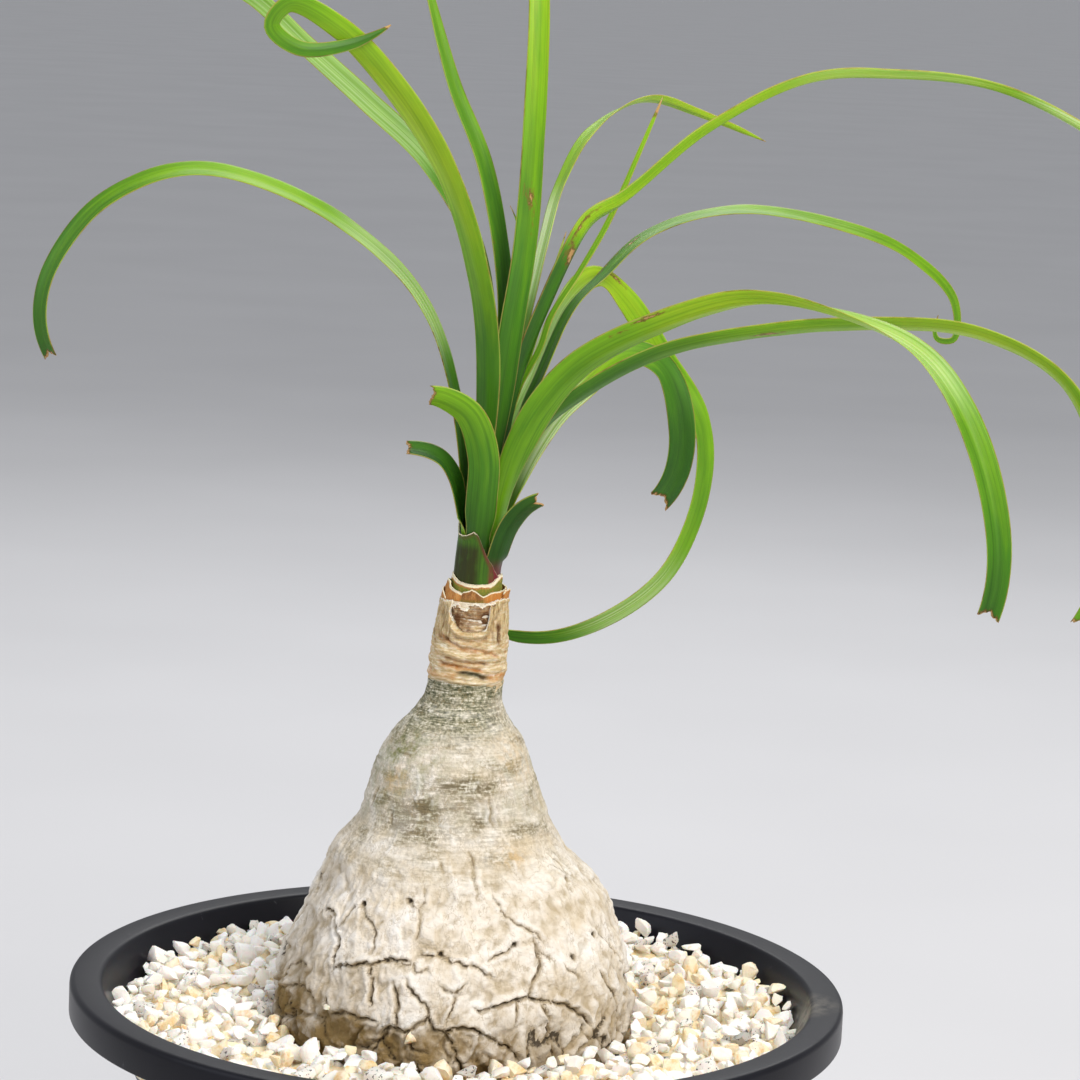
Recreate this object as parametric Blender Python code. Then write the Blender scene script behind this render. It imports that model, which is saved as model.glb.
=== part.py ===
# Ponytail palm (Beaucarnea) in a round plastic pot, with its roots, potting mix and grit.
# Lengths are in millimetres in this file and become metres in mesh_object.
# The origin is the centre of the pot's underside, +Z is up and -Y is the front.
import math
import random

import bpy
import numpy as np
from mathutils import Vector, noise

MM = 0.001
GAP = 0.3

# Pot: a tapered plastic pot with a wide flat lip and a skirt under it.
POT_HEIGHT = 130.0
RIM_RADIUS = 105.0
MOUTH_RADIUS = 96.6
SKIRT_DROP = 9.0
WALL = 2.2
FLOOR = 3.6
LIP_THICK = 2.6
THROAT_RADIUS = 93.4
THROAT_DROP = 8.0
SHOULDER_RADIUS = 86.4
SHOULDER_DROP = 26.0
BASE_RADIUS = 60.0
DRAIN_COUNT = 6
DRAIN_RADIUS = 4.5
DRAIN_CIRCLE = 42.0
CHANNEL_DEPTH = 1.4
CHANNEL_WIDTH = 5.2
POT_SIDES = 56

# Fillings: the mix ends below the grit, whose stones lie 8 mm under the rim, higher at the back.
MIX_TOP = POT_HEIGHT - 20.0
MIX_SIDES = 40
SOIL_GAP = 0.4
GRIT_TOP = POT_HEIGHT - 9.0
GRIT_WALL_GAP = 0.5
GRIT_STEM_GAP = 0.6
GRIT_BACK_RISE = 4.0
GRIT_SIDES = 88
GRIT_RINGS = 11
STONE_SIZE = 9.0
STONE_RISE = 4.6
STONE_TRIES = 1500

# Swollen stem: (height over the rim, half width, sideways shift), from the base to the neck.
STEM_OUTLINE = (
    (-34, 22, 0), (-31, 33, 0), (-24, 41, 0), (-14, 46, -1), (-4, 48, -1.6), (4, 47.4, -1.8),
    (12, 45.4, -1), (19, 43.2, -0.4), (26, 40.2, 0), (32, 36.8, -1), (38, 31.6, -4), (45, 26.2, -2.6),
    (52, 23.8, -3.2), (60, 21.6, -3.6), (66, 19.2, -3.3), (70.5, 16.4, -3), (74, 12.6, -2.6),
    (78.4, 11.2, -2.1), (79.6, 9.2, -1.7), (88, 8.7, -1.2), (98, 8.4, -0.4), (104, 7.9, 0.1),
    (106.4, 7.4, 0.4),
)
FOOT_FORWARD = 4.0
STEM_SIDES = 52
STEM_STEP = 3.8
NECK_LOW = POT_HEIGHT + 60.0

# The old bark of the swollen foot breaks into knobs.
KNOB_SIZE = 15.0
KNOB_RISE = 3.6
KNOB_LOW = POT_HEIGHT - 34.0
KNOB_TOP = POT_HEIGHT + 40.0

ROOT_COUNT = 7
ROOT_SIDES = 6
ROOT_RADIUS = 4.2
ROOT_TIP_RADIUS = 1.4
ROOT_TOP_CIRCLE = 24.0
ROOT_TIP_CIRCLE = 46.0
ROOT_TOP = POT_HEIGHT - 27.0
ROOT_LOW = 22.0

# Crown: the tight bundle of leaf bases, (height, radius), leaning a little to the right.
CROWN_OUTLINE = (
    (236.8, 5.0), (238.0, 5.4), (247.0, 5.4), (254.0, 5.0), (262.0, 4.2), (270.0, 3.2),
    (277.0, 2.1), (281.0, 1.0),
)
CROWN_FOOT_X = 0.5
CROWN_LEAN = 0.06
CROWN_SIDES = 20

# The lowest live sheath wraps the front: (degrees around, height of its torn top edge).
SHEATH_EDGE = (
    (168, 256.0), (178, 253.0), (200, 251.6), (235, 252.2), (260, 252.0), (278, 247.6), (293, 243.2),
    (340, 240.6),
)
SHEATH_FOOT = 237.2
SHEATH_RADIUS = 6.15
SHEATH_THICK = 0.7
SHEATH_STATIONS = 20

# Dry remains of old sheaths round the neck: low and high edge over the rim, inner radius, middle at
# the low and the high edge, height of the edge's waves, waves round the edge, belly.
BANDS = {
    "dry_sleeve": (80.6, 102.0, 9.5, (-1.6, -0.1), 0.7, 3, 0.2),
    "frayed_collar": (103.4, 107.6, 8.7, (0.2, 0.5), 0.45, 5, 0.4),
    "cream_ring": (108.2, 110.6, 7.3, (0.6, 0.7), 0.3, 2, 0.0),
}
BAND_THICK = 0.7
BAND_SIDES = 26
BAND_LEVELS = 3

BLADE_THICK = 0.7
SEAT_WIDTH = 4.6
SEAT_GAP = 0.4


def leaf_shape(seat, width, tip, turns, route, fold=0.16, stations=26, notch=0.0, base=SEAT_WIDTH):
    # seat is (degrees around the crown, height), turns are (share of the length, degrees)
    return {
        "seat": seat, "width": width, "tip": tip, "turns": turns, "route": route,
        "fold": fold, "stations": stations, "notch": notch, "base": base,
    }


# Each route lists the midrib's own points in millimetres, from the crown outwards.
LEAVES = {
    "leaf_left_arch": leaf_shape(
        (142, 254.5), 7.0, 4.6, ((0, 0), (0.19, 19), (0.45, 26), (0.68, 36), (1, 30)),
        ((-8, 1, 292), (-16, -6, 314), (-29, -12, 329), (-53, -24, 344), (-77, -32, 349),
         (-98, -38, 340), (-110, -42, 323), (-112, -43, 311), (-109, -43, 301)), stations=32, notch=1.5),
    "leaf_front_curl": leaf_shape(
        (238, 262), 7.0, 2.0,
        ((0, 0), (0.18, 8), (0.31, 5), (0.48, 11), (0.65, 37), (0.77, 62), (1, 48)),
        ((1, -10, 301), (-3, -28, 327), (-11, -54, 352), (-24, -84, 374), (-37, -102, 388),
         (-48, -108, 393), (-52, -108, 388), (-46, -105, 383), (-35, -100, 384), (-25, -97, 389)),
        stations=40),
    "leaf_left_rise": leaf_shape(
        (140, 262), 6.5, 3.0, ((0, 0), (0.3, 9), (0.48, -24), (0.73, -35), (1, -65)),
        ((1, 7, 302), (-2, 11, 325), (-16, 15, 350), (-34, 19, 366), (-51, 22, 380),
         (-67, 26, 393), (-83, 28, 398), (-96, 30, 394)), stations=28),
    "leaf_left_blade": leaf_shape(
        (132, 270), 5.6, 1.6, ((0, 0), (1, -8)),
        ((5, 4, 306), (4, 6, 324), (-2, 9, 351), (-11, 12, 372), (-18, 16, 394), (-21, 18, 405)),
        stations=22, base=3.8),
    "leaf_upright": leaf_shape(
        (285, 270), 7.0, 3.6, ((0, 0), (0.23, 9), (0.52, 17), (1, 5)),
        ((7, -3, 307), (10, 0, 332), (11, 3, 360), (11, 8, 395), (9, 16, 418), (4, 30, 436)),
        stations=24, base=3.8),
    "leaf_back_arch": leaf_shape(
        (60, 270), 5.0, 1.2, ((0, 0), (0.21, -28), (0.43, -25), (0.58, -8), (0.76, -32), (1, -50)),
        ((6.5, 7, 290), (11, 13, 310), (15, 26, 329), (19, 42, 344), (28, 66, 359), (45, 96, 367),
         (60, 112, 363), (81, 124, 355)), stations=28, base=3.6),
    "leaf_thin_back": leaf_shape(
        (69, 262), 1.9, 0.9, ((0, 0), (0.5, -20), (1, 10)),
        ((9, 7.8, 290), (15, 9.5, 303), (17.5, 12, 311), (25, 20, 323), (32.5, 32, 336), (41, 50, 355),
         (47, 64, 369)), stations=20, base=1.6),
    "leaf_short_back": leaf_shape(
        (92, 262), 1.4, 0.8, ((0, 0), (1, 10)),
        ((9, 14, 288), (14, 19, 306), (18, 24, 322), (21, 29, 333)), stations=12, base=1.5),
    "leaf_slip_behind": leaf_shape(
        (200, 277), 2.2, 0.8, ((0, 0), (1, 15)),
        ((3.6, 0, 289), (6.5, 1, 300), (9, 3.5, 322), (8, 4, 334), (5.3, 4, 341)), stations=14, base=1.4),
    "leaf_kinked": leaf_shape(
        (355, 270), 5.4, 1.8, ((0, 0), (0.12, -38), (0.27, -38), (0.34, -18), (0.75, 0), (0.94, -25)),
        ((8.5, 0.5, 288), (11, 3, 300), (16, 6, 314), (26, 10, 336), (29, 11, 339), (36, 14, 343),
         (58, 22, 362), (85, 32, 376), (108, 38, 378), (136, 44, 376), (162, 48, 366), (180, 50, 354),
         (189, 50, 340)),
        fold=0.5, stations=40, base=3.8),
    "leaf_hooked_tip": leaf_shape(
        (30, 262), 5.2, 1.4,
        ((0, 0), (0.2, -4), (0.38, 15), (0.53, 38), (0.8, 79), (0.9, 125), (1, 120)),
        ((12, 4.5, 287), (15.5, 6.5, 296), (23, 14.5, 313), (31, 25, 321), (44, 42, 332), (69, 66, 338),
         (102, 94, 333), (123, 108, 325), (139, 118, 311), (140, 120, 299), (135, 120, 299),
         (135, 120, 306)), stations=38, base=4.2),
    "leaf_right_low": leaf_shape(
        (337, 262), 7.0, 4.8, ((0, 0), (0.09, -22), (0.71, -18), (0.82, -27), (0.92, -50), (1, -80)),
        ((15, -3, 282), (24, -5, 291), (45, -6, 304), (70, -9, 311), (101, -12, 315), (129, -16, 314),
         (151, -20, 303), (162, -24, 281), (164, -28, 258), (157, -31, 240)),
        stations=34, notch=2.5, base=4.2),
    "leaf_right_wide": leaf_shape(
        (322, 254.5), 8.4, 6.0,
        ((0, 0), (0.12, -52), (0.23, -38), (0.47, -20), (0.57, 0), (0.69, 24), (0.8, 47), (1, 60)),
        ((11, -10, 280), (24, -16, 300), (44, -25, 313), (68, -38, 322), (91, -52, 320),
         (109, -62, 312), (122, -68, 293), (129, -72, 266), (127, -73, 249)),
        fold=0.4, stations=36, notch=2.5, base=5.4),
    "leaf_back_loop": leaf_shape(
        (92, 254.5), 7.0, 3.4,
        ((0, 0), (0.18, -56), (0.28, -48), (0.35, 16), (0.42, 65), (0.5, 80), (0.58, 38), (1, 50)),
        ((6, 12, 275), (14, 18, 294), (21, 28, 312), (30, 39, 320), (39, 46, 313), (50, 50, 297),
         (61.5, 50, 279), (62, 48, 259), (53, 44, 237), (36, 40, 224), (20, 38, 219), (4, 38, 221)),
        stations=40),
    "leaf_right_droop": leaf_shape(
        (22, 254.5), 8.2, 6.4, ((0, 0), (0.25, 36), (0.54, 52), (0.65, 73), (0.8, 118), (1, 120)),
        ((17, 9, 281), (26, 15, 291), (39, 22, 301), (49, 27, 297), (55, 28, 281), (54, 27, 268),
         (49, 25, 260)), stations=26, notch=3.0, base=5.0),
    "stub_front": leaf_shape(
        (257, 253.4), 8.4, 6.0, ((0, 0), (0.23, 10), (0.5, 14), (1, 2)),
        ((1, -9, 264), (1, -12, 276), (-3, -15, 287), (-9, -16, 291), (-14, -17, 292)),
        stations=14, notch=1.5, base=6.6),
    "stub_left": leaf_shape(
        (195, 253.8), 6.4, 5.2, ((0, 0), (0.15, -40), (0.45, -45), (0.71, -31), (1, -24)),
        ((-5, -3, 263), (-7, -6, 270), (-11, -8, 275), (-20, -10, 277)),
        stations=12, notch=1.5, base=4.4),
    "stub_right": leaf_shape(
        (322, 244.9), 6.0, 4.8, ((0, 0), (0.15, -25), (1, -40)),
        ((7, -7, 252), (9, -9, 257.5), (12.5, -11.5, 262.5), (17, -13, 265.3)),
        stations=12, notch=2.0, base=4.6),
}


def clear_scene():
    for old in list(bpy.data.objects):
        bpy.data.objects.remove(old, do_unlink=True)


def material(name, hex_colour, roughness):
    made = bpy.data.materials.new(name)
    made.use_nodes = True
    shader = made.node_tree.nodes["Principled BSDF"]
    channels = [int(hex_colour[i:i + 2], 16) / 255 for i in (0, 2, 4)]
    linear = [c / 12.92 if c < 0.04045 else ((c + 0.055) / 1.055) ** 2.4 for c in channels]
    shader.inputs["Base Color"].default_value = (*linear, 1)
    shader.inputs["Roughness"].default_value = roughness
    shader.inputs["Metallic"].default_value = 0.0
    return made


def mesh_object(name, points, faces, finish):
    mesh = bpy.data.meshes.new(name)
    mesh.from_pydata([tuple(c * MM for c in p) for p in points], [], faces)
    mesh.materials.append(finish)
    mesh.shade_smooth()
    mesh.set_sharp_from_angle(angle=math.radians(40))
    made = bpy.data.objects.new(name, mesh)
    bpy.context.scene.collection.objects.link(made)
    return made


def ring(z, radius, sides, centre=(0, 0)):
    # radius is a number, or a function of the angle and the height
    points = []
    for i in range(sides):
        angle = 2 * math.pi * i / sides
        r = radius(angle, z) if callable(radius) else radius
        points.append((centre[0] + r * math.cos(angle), centre[1] + r * math.sin(angle), z))
    return points


def skin(rings, looped=False):
    """Faces between rings of equal count, closed at both ends by a fan, or joined end to start."""
    sides = len(rings[0])
    points = [p for one in rings for p in one]
    faces = []
    pairs = len(rings) if looped else len(rings) - 1
    for r in range(pairs):
        low, high = r * sides, (r + 1) % len(rings) * sides
        for i in range(sides):
            j = (i + 1) % sides
            faces += [(low + i, low + j, high + j), (low + i, high + j, high + i)]
    if not looped:
        for start, flip in ((0, True), ((len(rings) - 1) * sides, False)):
            middle = len(points)
            points.append(tuple(np.mean(rings[0] if flip else rings[-1], axis=0)))
            for i in range(sides):
                a, b = start + i, start + (i + 1) % sides
                faces.append((b, a, middle) if flip else (a, b, middle))
    return points, faces


def smooth_curve(points, count):
    """Points spread along a curve through the given ones, in as many dimensions as they have."""
    p = np.asarray(points, float)
    steps = np.sqrt(np.linalg.norm(np.diff(p[:, :3], axis=0), axis=1))
    at = np.concatenate([[0], np.cumsum(steps)])
    slopes = np.zeros_like(p)
    runs = np.diff(p, axis=0) / steps[:, None]
    share = (steps[:-1] / (steps[:-1] + steps[1:]))[:, None]
    slopes[1:-1] = runs[:-1] * (1 - share) + runs[1:] * share
    slopes[0] = 2 * runs[0] - slopes[1]
    slopes[-1] = 2 * runs[-1] - slopes[-2]
    want = np.linspace(0, at[-1], count)
    i = np.clip(np.searchsorted(at, want, side="right") - 1, 0, len(steps) - 1)
    u = ((want - at[i]) / steps[i])[:, None]
    h = steps[i][:, None]
    return ((2 * u**3 - 3 * u**2 + 1) * p[i] + (u**3 - 2 * u**2 + u) * h * slopes[i]
            + (3 * u**2 - 2 * u**3) * p[i + 1] + (u**3 - u**2) * h * slopes[i + 1])


def union_of(name, pieces, finish):
    """One body from pieces that run into each other."""
    whole, *others = pieces
    for other in others:
        joining = whole.modifiers.new("join", "BOOLEAN")
        joining.operation = "UNION"
        joining.object = other
    settle(whole, others)
    whole.name = name
    whole.data.materials.clear()
    whole.data.materials.append(finish)
    return whole


def cut(whole, cutters):
    for cutter in cutters:
        cutting = whole.modifiers.new("cut", "BOOLEAN")
        cutting.operation = "DIFFERENCE"
        cutting.object = cutter
    settle(whole, cutters)


def settle(whole, helpers):
    """Keeps the evaluated mesh and removes the helpers that shaped it."""
    for helper in helpers:
        helper.hide_render = True
        helper.display_type = "WIRE"
    graph = bpy.context.evaluated_depsgraph_get()
    mesh = bpy.data.meshes.new_from_object(whole.evaluated_get(graph))
    whole.modifiers.clear()
    whole.data = mesh
    for helper in helpers:
        bpy.data.objects.remove(helper, do_unlink=True)


def mouth_radius(z):
    """The pot's inner wall, from its floor to its mouth."""
    heights = (FLOOR, POT_HEIGHT - SHOULDER_DROP, POT_HEIGHT - THROAT_DROP, POT_HEIGHT)
    radii = (BASE_RADIUS - WALL, SHOULDER_RADIUS - WALL, THROAT_RADIUS, MOUTH_RADIUS)
    return float(np.interp(z, heights, radii))


def make_pot(finish):
    """A turned wall with a rolled lip, then drain holes with a channel from each."""
    top, shoulder, throat = POT_HEIGHT, POT_HEIGHT - SHOULDER_DROP, POT_HEIGHT - THROAT_DROP
    edge = 1.0
    inside = [
        (BASE_RADIUS - WALL - 3, FLOOR), (mouth_radius(FLOOR + 3), FLOOR + 3),
        (mouth_radius(shoulder), shoulder), (THROAT_RADIUS, throat),
        (MOUTH_RADIUS - 0.2, top - edge), (MOUTH_RADIUS + 0.6, top),
    ]
    outside = [
        (RIM_RADIUS - edge, top), (RIM_RADIUS - 0.3, top - 0.3), (RIM_RADIUS, top - edge),
        (RIM_RADIUS, top - SKIRT_DROP), (RIM_RADIUS - WALL, top - SKIRT_DROP),
        (RIM_RADIUS - WALL - 0.2, top - LIP_THICK), (MOUTH_RADIUS + 1.2, top - LIP_THICK),
        (THROAT_RADIUS + WALL, throat), (SHOULDER_RADIUS, shoulder), (BASE_RADIUS + edge, 3),
        (BASE_RADIUS, 0.8), (BASE_RADIUS - 0.8, 0),
    ]
    points, faces = skin([ring(z, r, POT_SIDES) for r, z in inside + outside])
    pot = mesh_object("pot", points, faces[::-1], finish)
    pot.data.flip_normals()
    cutters = []
    for i in range(DRAIN_COUNT):
        angle = 2 * math.pi * (i + 0.5) / DRAIN_COUNT
        x, y = DRAIN_CIRCLE * math.cos(angle), DRAIN_CIRCLE * math.sin(angle)
        points, faces = skin([ring(z, DRAIN_RADIUS, 12, (x, y)) for z in (-2, FLOOR + 2)])
        cutters.append(mesh_object("drain", points, faces, finish))
        cutters.append(channel_cutter(angle, finish))
    cut(pot, cutters)
    return pot


def channel_cutter(angle, finish):
    """A shallow groove under the pot that leads water from a drain hole to the edge."""
    near, far, half = DRAIN_CIRCLE - 7, BASE_RADIUS + 6, CHANNEL_WIDTH / 2
    plan = ((near, -half), (far, -half), (far, half), (near, half))
    corners = [(r, s, z) for z in (-2, CHANNEL_DEPTH) for r, s in plan]
    turned = [(r * math.cos(angle) - s * math.sin(angle), r * math.sin(angle) + s * math.cos(angle), z)
              for r, s, z in corners]
    faces = [(3, 2, 1, 0), (4, 5, 6, 7)]
    faces += [(i, (i + 1) % 4, (i + 1) % 4 + 4, i + 4) for i in range(4)]
    return mesh_object("channel", turned, faces, finish)


def stem_outline(z):
    """Half width and sideways shift of the stem at a height over the floor."""
    heights, widths, shifts = zip(*STEM_OUTLINE)
    over = z - POT_HEIGHT
    return float(np.interp(over, heights, widths)), float(np.interp(over, heights, shifts))


def stem_centre(z):
    """The stem swells towards the front below its shoulder."""
    return stem_outline(z)[1], -FOOT_FORWARD * float(np.clip((POT_HEIGHT + 30 - z) / 34, 0, 1))


def knob_centres():
    """Places of the bark's knobs, rows of cells with a seeded offset, as points on a round stem."""
    draw = random.Random(5)
    centres = []
    z = KNOB_LOW + KNOB_SIZE
    while z < KNOB_TOP:
        radius = stem_outline(z)[0]
        count = round(2 * math.pi * radius / KNOB_SIZE)
        turn = draw.random()
        for i in range(count):
            angle = 2 * math.pi * (i + turn + draw.uniform(-0.3, 0.3)) / count
            centres.append((radius * math.cos(angle), radius * math.sin(angle), z + draw.uniform(-3, 3)))
        z += KNOB_SIZE * 0.72
    return np.array(centres)


def domed(points, centres, size):
    """0 in the grooves between centres and 1 on top of each, for an array of points."""
    away = np.linalg.norm(points[:, None] - centres[None], axis=2)
    away.sort(axis=1)
    groove = np.clip((away[:, 1] - away[:, 0]) / (0.55 * size), 0, 1)
    return np.sqrt(groove)


def stem_radius(angle, z, centres):
    half, _ = stem_outline(z)
    lobes = 0.02 * math.cos(3 * angle + 0.8) + 0.014 * math.cos(5 * angle - 1.1 + z * 0.03)
    swell = float(np.clip((half - 12) / 20, 0, 1))
    low = float(np.clip((KNOB_TOP - z) / 26, 0, 1) * np.clip((z - KNOB_LOW) / 10, 0, 1))
    place = np.array([[half * math.cos(angle), half * math.sin(angle), z]])
    relief = KNOB_RISE * low * (domed(place, centres, KNOB_SIZE)[0] - 0.7)
    grain = 0.5 * swell * noise.noise(Vector((place[0][0] * 0.12, place[0][1] * 0.12, z * 0.2)))
    return half * (1 + lobes * swell) + relief + grain


def make_stem(finish):
    """The swollen stem with its roots, which grew as one piece."""
    centres = knob_centres()
    heights = [POT_HEIGHT + over for over, _, _ in STEM_OUTLINE]
    body = [z for z in np.arange(heights[0], heights[-1], STEM_STEP) if z < NECK_LOW - 2]
    rings = []
    for z in body + [z for z in heights if z >= NECK_LOW]:
        rings.append(ring(z, lambda a, h: stem_radius(a, h, centres), STEM_SIDES, stem_centre(z)))
    points, faces = skin(rings)
    stem = mesh_object("stem_body", points, faces, finish)
    return union_of("swollen_stem", [stem] + make_roots(0.0, finish), finish)


def make_roots(extra, finish):
    """Tapered roots that spread down through the mix, or the holes for them when extra is over 0."""
    roots = []
    for i in range(ROOT_COUNT):
        angle = 2 * math.pi * (i + 0.3 * math.sin(2.4 * i)) / ROOT_COUNT
        drop = 1 + 0.25 * math.sin(1.7 * i)
        way = []
        for share in (0, 0.35, 0.7, 1):
            out = ROOT_TOP_CIRCLE + (ROOT_TIP_CIRCLE - ROOT_TOP_CIRCLE) * share**0.8
            bend = angle + 0.25 * math.sin(2.2 * share + i)
            z = ROOT_TOP - (ROOT_TOP - ROOT_LOW * drop) * share
            way.append((out * math.cos(bend), out * math.sin(bend), z))
        centre = smooth_curve(way, 7)
        if extra:
            centre[-1] += (centre[-1] - centre[-2]) / np.linalg.norm(centre[-1] - centre[-2]) * extra
        rings = []
        for k, middle in enumerate(centre[::-1]):
            radius = ROOT_TIP_RADIUS + (ROOT_RADIUS - ROOT_TIP_RADIUS) * k / (len(centre) - 1) + extra
            rings.append(ring(middle[2], radius, ROOT_SIDES, middle[:2]))
        points, faces = skin(rings)
        roots.append(mesh_object("root", points, faces, finish))
    return roots


def make_mix(finish):
    """Potting mix: fills the pot below the grit, with a seat for the stem's foot and holes for the roots."""
    outline = [(BASE_RADIUS - WALL - 4, FLOOR + GAP)]
    outline += [(mouth_radius(z) - SOIL_GAP, z) for z in (FLOOR + 4, POT_HEIGHT - SHOULDER_DROP, MIX_TOP)]
    seat = [(48.6, MIX_TOP), (45.6, MIX_TOP - 6), (36, POT_HEIGHT + STEM_OUTLINE[0][0] - SOIL_GAP)]
    rings = [ring(z, r, MIX_SIDES) for r, z in outline]
    rings += [ring(z, r, MIX_SIDES, stem_centre(z)) for r, z in seat]
    points, faces = skin(rings)
    mix = mesh_object("potting_mix", points, faces, finish)
    cut(mix, make_roots(SOIL_GAP, finish))
    return mix


def stone_centres(draw):
    """Places of the stones on the grit's top, none nearer than most of a stone to the next."""
    kept = []
    for _ in range(STONE_TRIES):
        angle = draw.uniform(0, 2 * math.pi)
        radius = math.sqrt(draw.uniform(44**2, MOUTH_RADIUS**2))
        place = (radius * math.cos(angle), radius * math.sin(angle), 0)
        if all(math.dist(place, other) > STONE_SIZE * 0.8 for other in kept):
            kept.append(place)
    return np.array(kept)


def grit_hole(low):
    """The hole that the stem stands in, clear of the stem's widest knobs at every height of the bed."""
    knobs = knob_centres()
    turns = [2 * math.pi * i / GRIT_SIDES for i in range(GRIT_SIDES)]
    widest = [max(stem_radius(a, z, knobs) for z in np.arange(low, GRIT_TOP + 5, 2.5)) for a in turns]
    x, y = stem_centre(GRIT_TOP)
    hole = []
    for i, a in enumerate(turns):
        radius = max(widest[i - 1], widest[i], widest[(i + 1) % GRIT_SIDES]) + GRIT_STEM_GAP
        hole.append((x + radius * math.cos(a), y + radius * math.sin(a), low))
    return hole


def make_grit(finish):
    """The grit bed, whose top is stones packed side by side."""
    stones = stone_centres(random.Random(11))
    low = MIX_TOP + GAP
    edge = mouth_radius(GRIT_TOP - 1) - GRIT_WALL_GAP
    inner, outer = grit_hole(low), ring(low, edge, GRIT_SIDES)
    rings = [inner]
    for share in np.linspace(0, 1, GRIT_RINGS):
        flat = [(a[0] * (1 - share) + b[0] * share, a[1] * (1 - share) + b[1] * share, 0)
                for a, b in zip(inner, outer)]
        row = []
        for (x, y, _), top in zip(flat, domed(np.array(flat), stones, STONE_SIZE)):
            rise = GRIT_BACK_RISE * max(0, y) / RIM_RADIUS + 1.5 * noise.noise(Vector((x, y, 0)) * 0.03)
            row.append((x, y, GRIT_TOP - 2 + STONE_RISE * float(top) + rise))
        rings.append(row)
    rings.append(ring(low, mouth_radius(low) - GRIT_WALL_GAP, GRIT_SIDES))
    points, faces = skin(rings, looped=True)
    bed = mesh_object("grit_bed", points, faces, finish)
    bed.data.flip_normals()
    return bed


def crown_axis(z):
    return CROWN_FOOT_X + CROWN_LEAN * (z - CROWN_OUTLINE[0][0])


def make_crown(finish):
    """The green bundle of sheathing leaf bases on top of the neck."""
    rings = [ring(z, r, CROWN_SIDES, (crown_axis(z), 0)) for z, r in CROWN_OUTLINE]
    points, faces = skin(rings)
    return mesh_object("crown_bundle", points, faces, finish)


def make_sheath(finish):
    """The lowest live sheath: a curved sheet around the front of the crown with a torn top edge."""
    first, last = SHEATH_EDGE[0][0], SHEATH_EDGE[-1][0]
    degrees = np.linspace(first, last, SHEATH_STATIONS)
    heights = np.interp(degrees, *zip(*SHEATH_EDGE))
    inner, outer = SHEATH_RADIUS, SHEATH_RADIUS + SHEATH_THICK
    rings = []
    for deg, top in zip(degrees, heights):
        a = math.radians(deg)
        one = []
        for r, z in ((inner, SHEATH_FOOT), (outer, SHEATH_FOOT), (outer + 0.1, (SHEATH_FOOT + top) / 2),
                     (outer, top), (inner, top), (inner, (SHEATH_FOOT + top) / 2)):
            one.append((crown_axis(z) + r * math.cos(a), r * math.sin(a), z))
        rings.append(one)
    points, faces = skin(rings)
    sheath = mesh_object("sheath_lowest", points, faces, finish)
    sheath.data.flip_normals()
    return sheath


def make_band(name, finish):
    """A thin dry band round the neck with uneven edges."""
    low, high, inner, middles, edge_wave, waves, belly = BANDS[name]
    levels = range(BAND_LEVELS)
    rings = []
    for radius, order in ((inner + BAND_THICK, levels), (inner, reversed(levels))):
        wrinkle = 0.25 if radius > inner else 0.0
        for k in order:
            share = k / (BAND_LEVELS - 1)
            x = middles[0] + (middles[1] - middles[0]) * share
            row = []
            for i in range(BAND_SIDES):
                a = 2 * math.pi * i / BAND_SIDES
                wave = math.sin(waves * a + 1.3) + 0.6 * math.sin((2 * waves + 1) * a + waves)
                z = POT_HEIGHT + low + (high - low) * share + edge_wave * wave * (2 * share - 1) ** 2
                r = radius + belly * math.sin(math.pi * share) + wrinkle * math.sin(3 * a + 5 * share)
                row.append((x + r * math.cos(a), r * math.sin(a), z))
            rings.append(row)
    points, faces = skin(rings, looped=True)
    return mesh_object(name, points, faces, finish)


def blade_frames(centre, azimuth, turns):
    """Tangent, side and upper normal at each point, carried along without twist, then turned."""
    tangents = np.gradient(centre, axis=0)
    tangents /= np.linalg.norm(tangents, axis=1)[:, None]
    angle = math.radians(azimuth)
    side = np.array([-math.sin(angle), math.cos(angle), 0])
    length = np.concatenate([[0], np.cumsum(np.linalg.norm(np.diff(centre, axis=0), axis=1))])
    shares, degrees = zip(*turns)
    rolls = np.radians(np.interp(length / length[-1], shares, degrees))
    frames = []
    for tangent, roll in zip(tangents, rolls):
        side = side - tangent * (side @ tangent)
        side /= np.linalg.norm(side)
        up = np.cross(tangent, side)
        frames.append((tangent, side * math.cos(roll) + up * math.sin(roll),
                       up * math.cos(roll) - side * math.sin(roll)))
    return frames, length / length[-1]


def leaf_route(shape):
    """The seat on the crown, a short rise out of it, then the leaf's own points."""
    azimuth, z = shape["seat"]
    angle = math.radians(azimuth)
    radius = float(np.interp(z, *zip(*CROWN_OUTLINE))) + SEAT_GAP + BLADE_THICK / 2
    seat = (crown_axis(z) + radius * math.cos(angle), radius * math.sin(angle), z)
    return [seat] + list(shape["route"])


def blade_width(share, shape):
    """From the narrow seat to full width by a sixth of the length, then down to the tip."""
    opening = min(1.0, share / 0.16)
    opening = opening * opening * (3 - 2 * opening)
    closing = max(0.0, (share - 0.55) / 0.45)
    full = shape["base"] + (shape["width"] - shape["base"]) * opening
    return full + (shape["tip"] - shape["width"]) * closing**1.6


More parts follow.
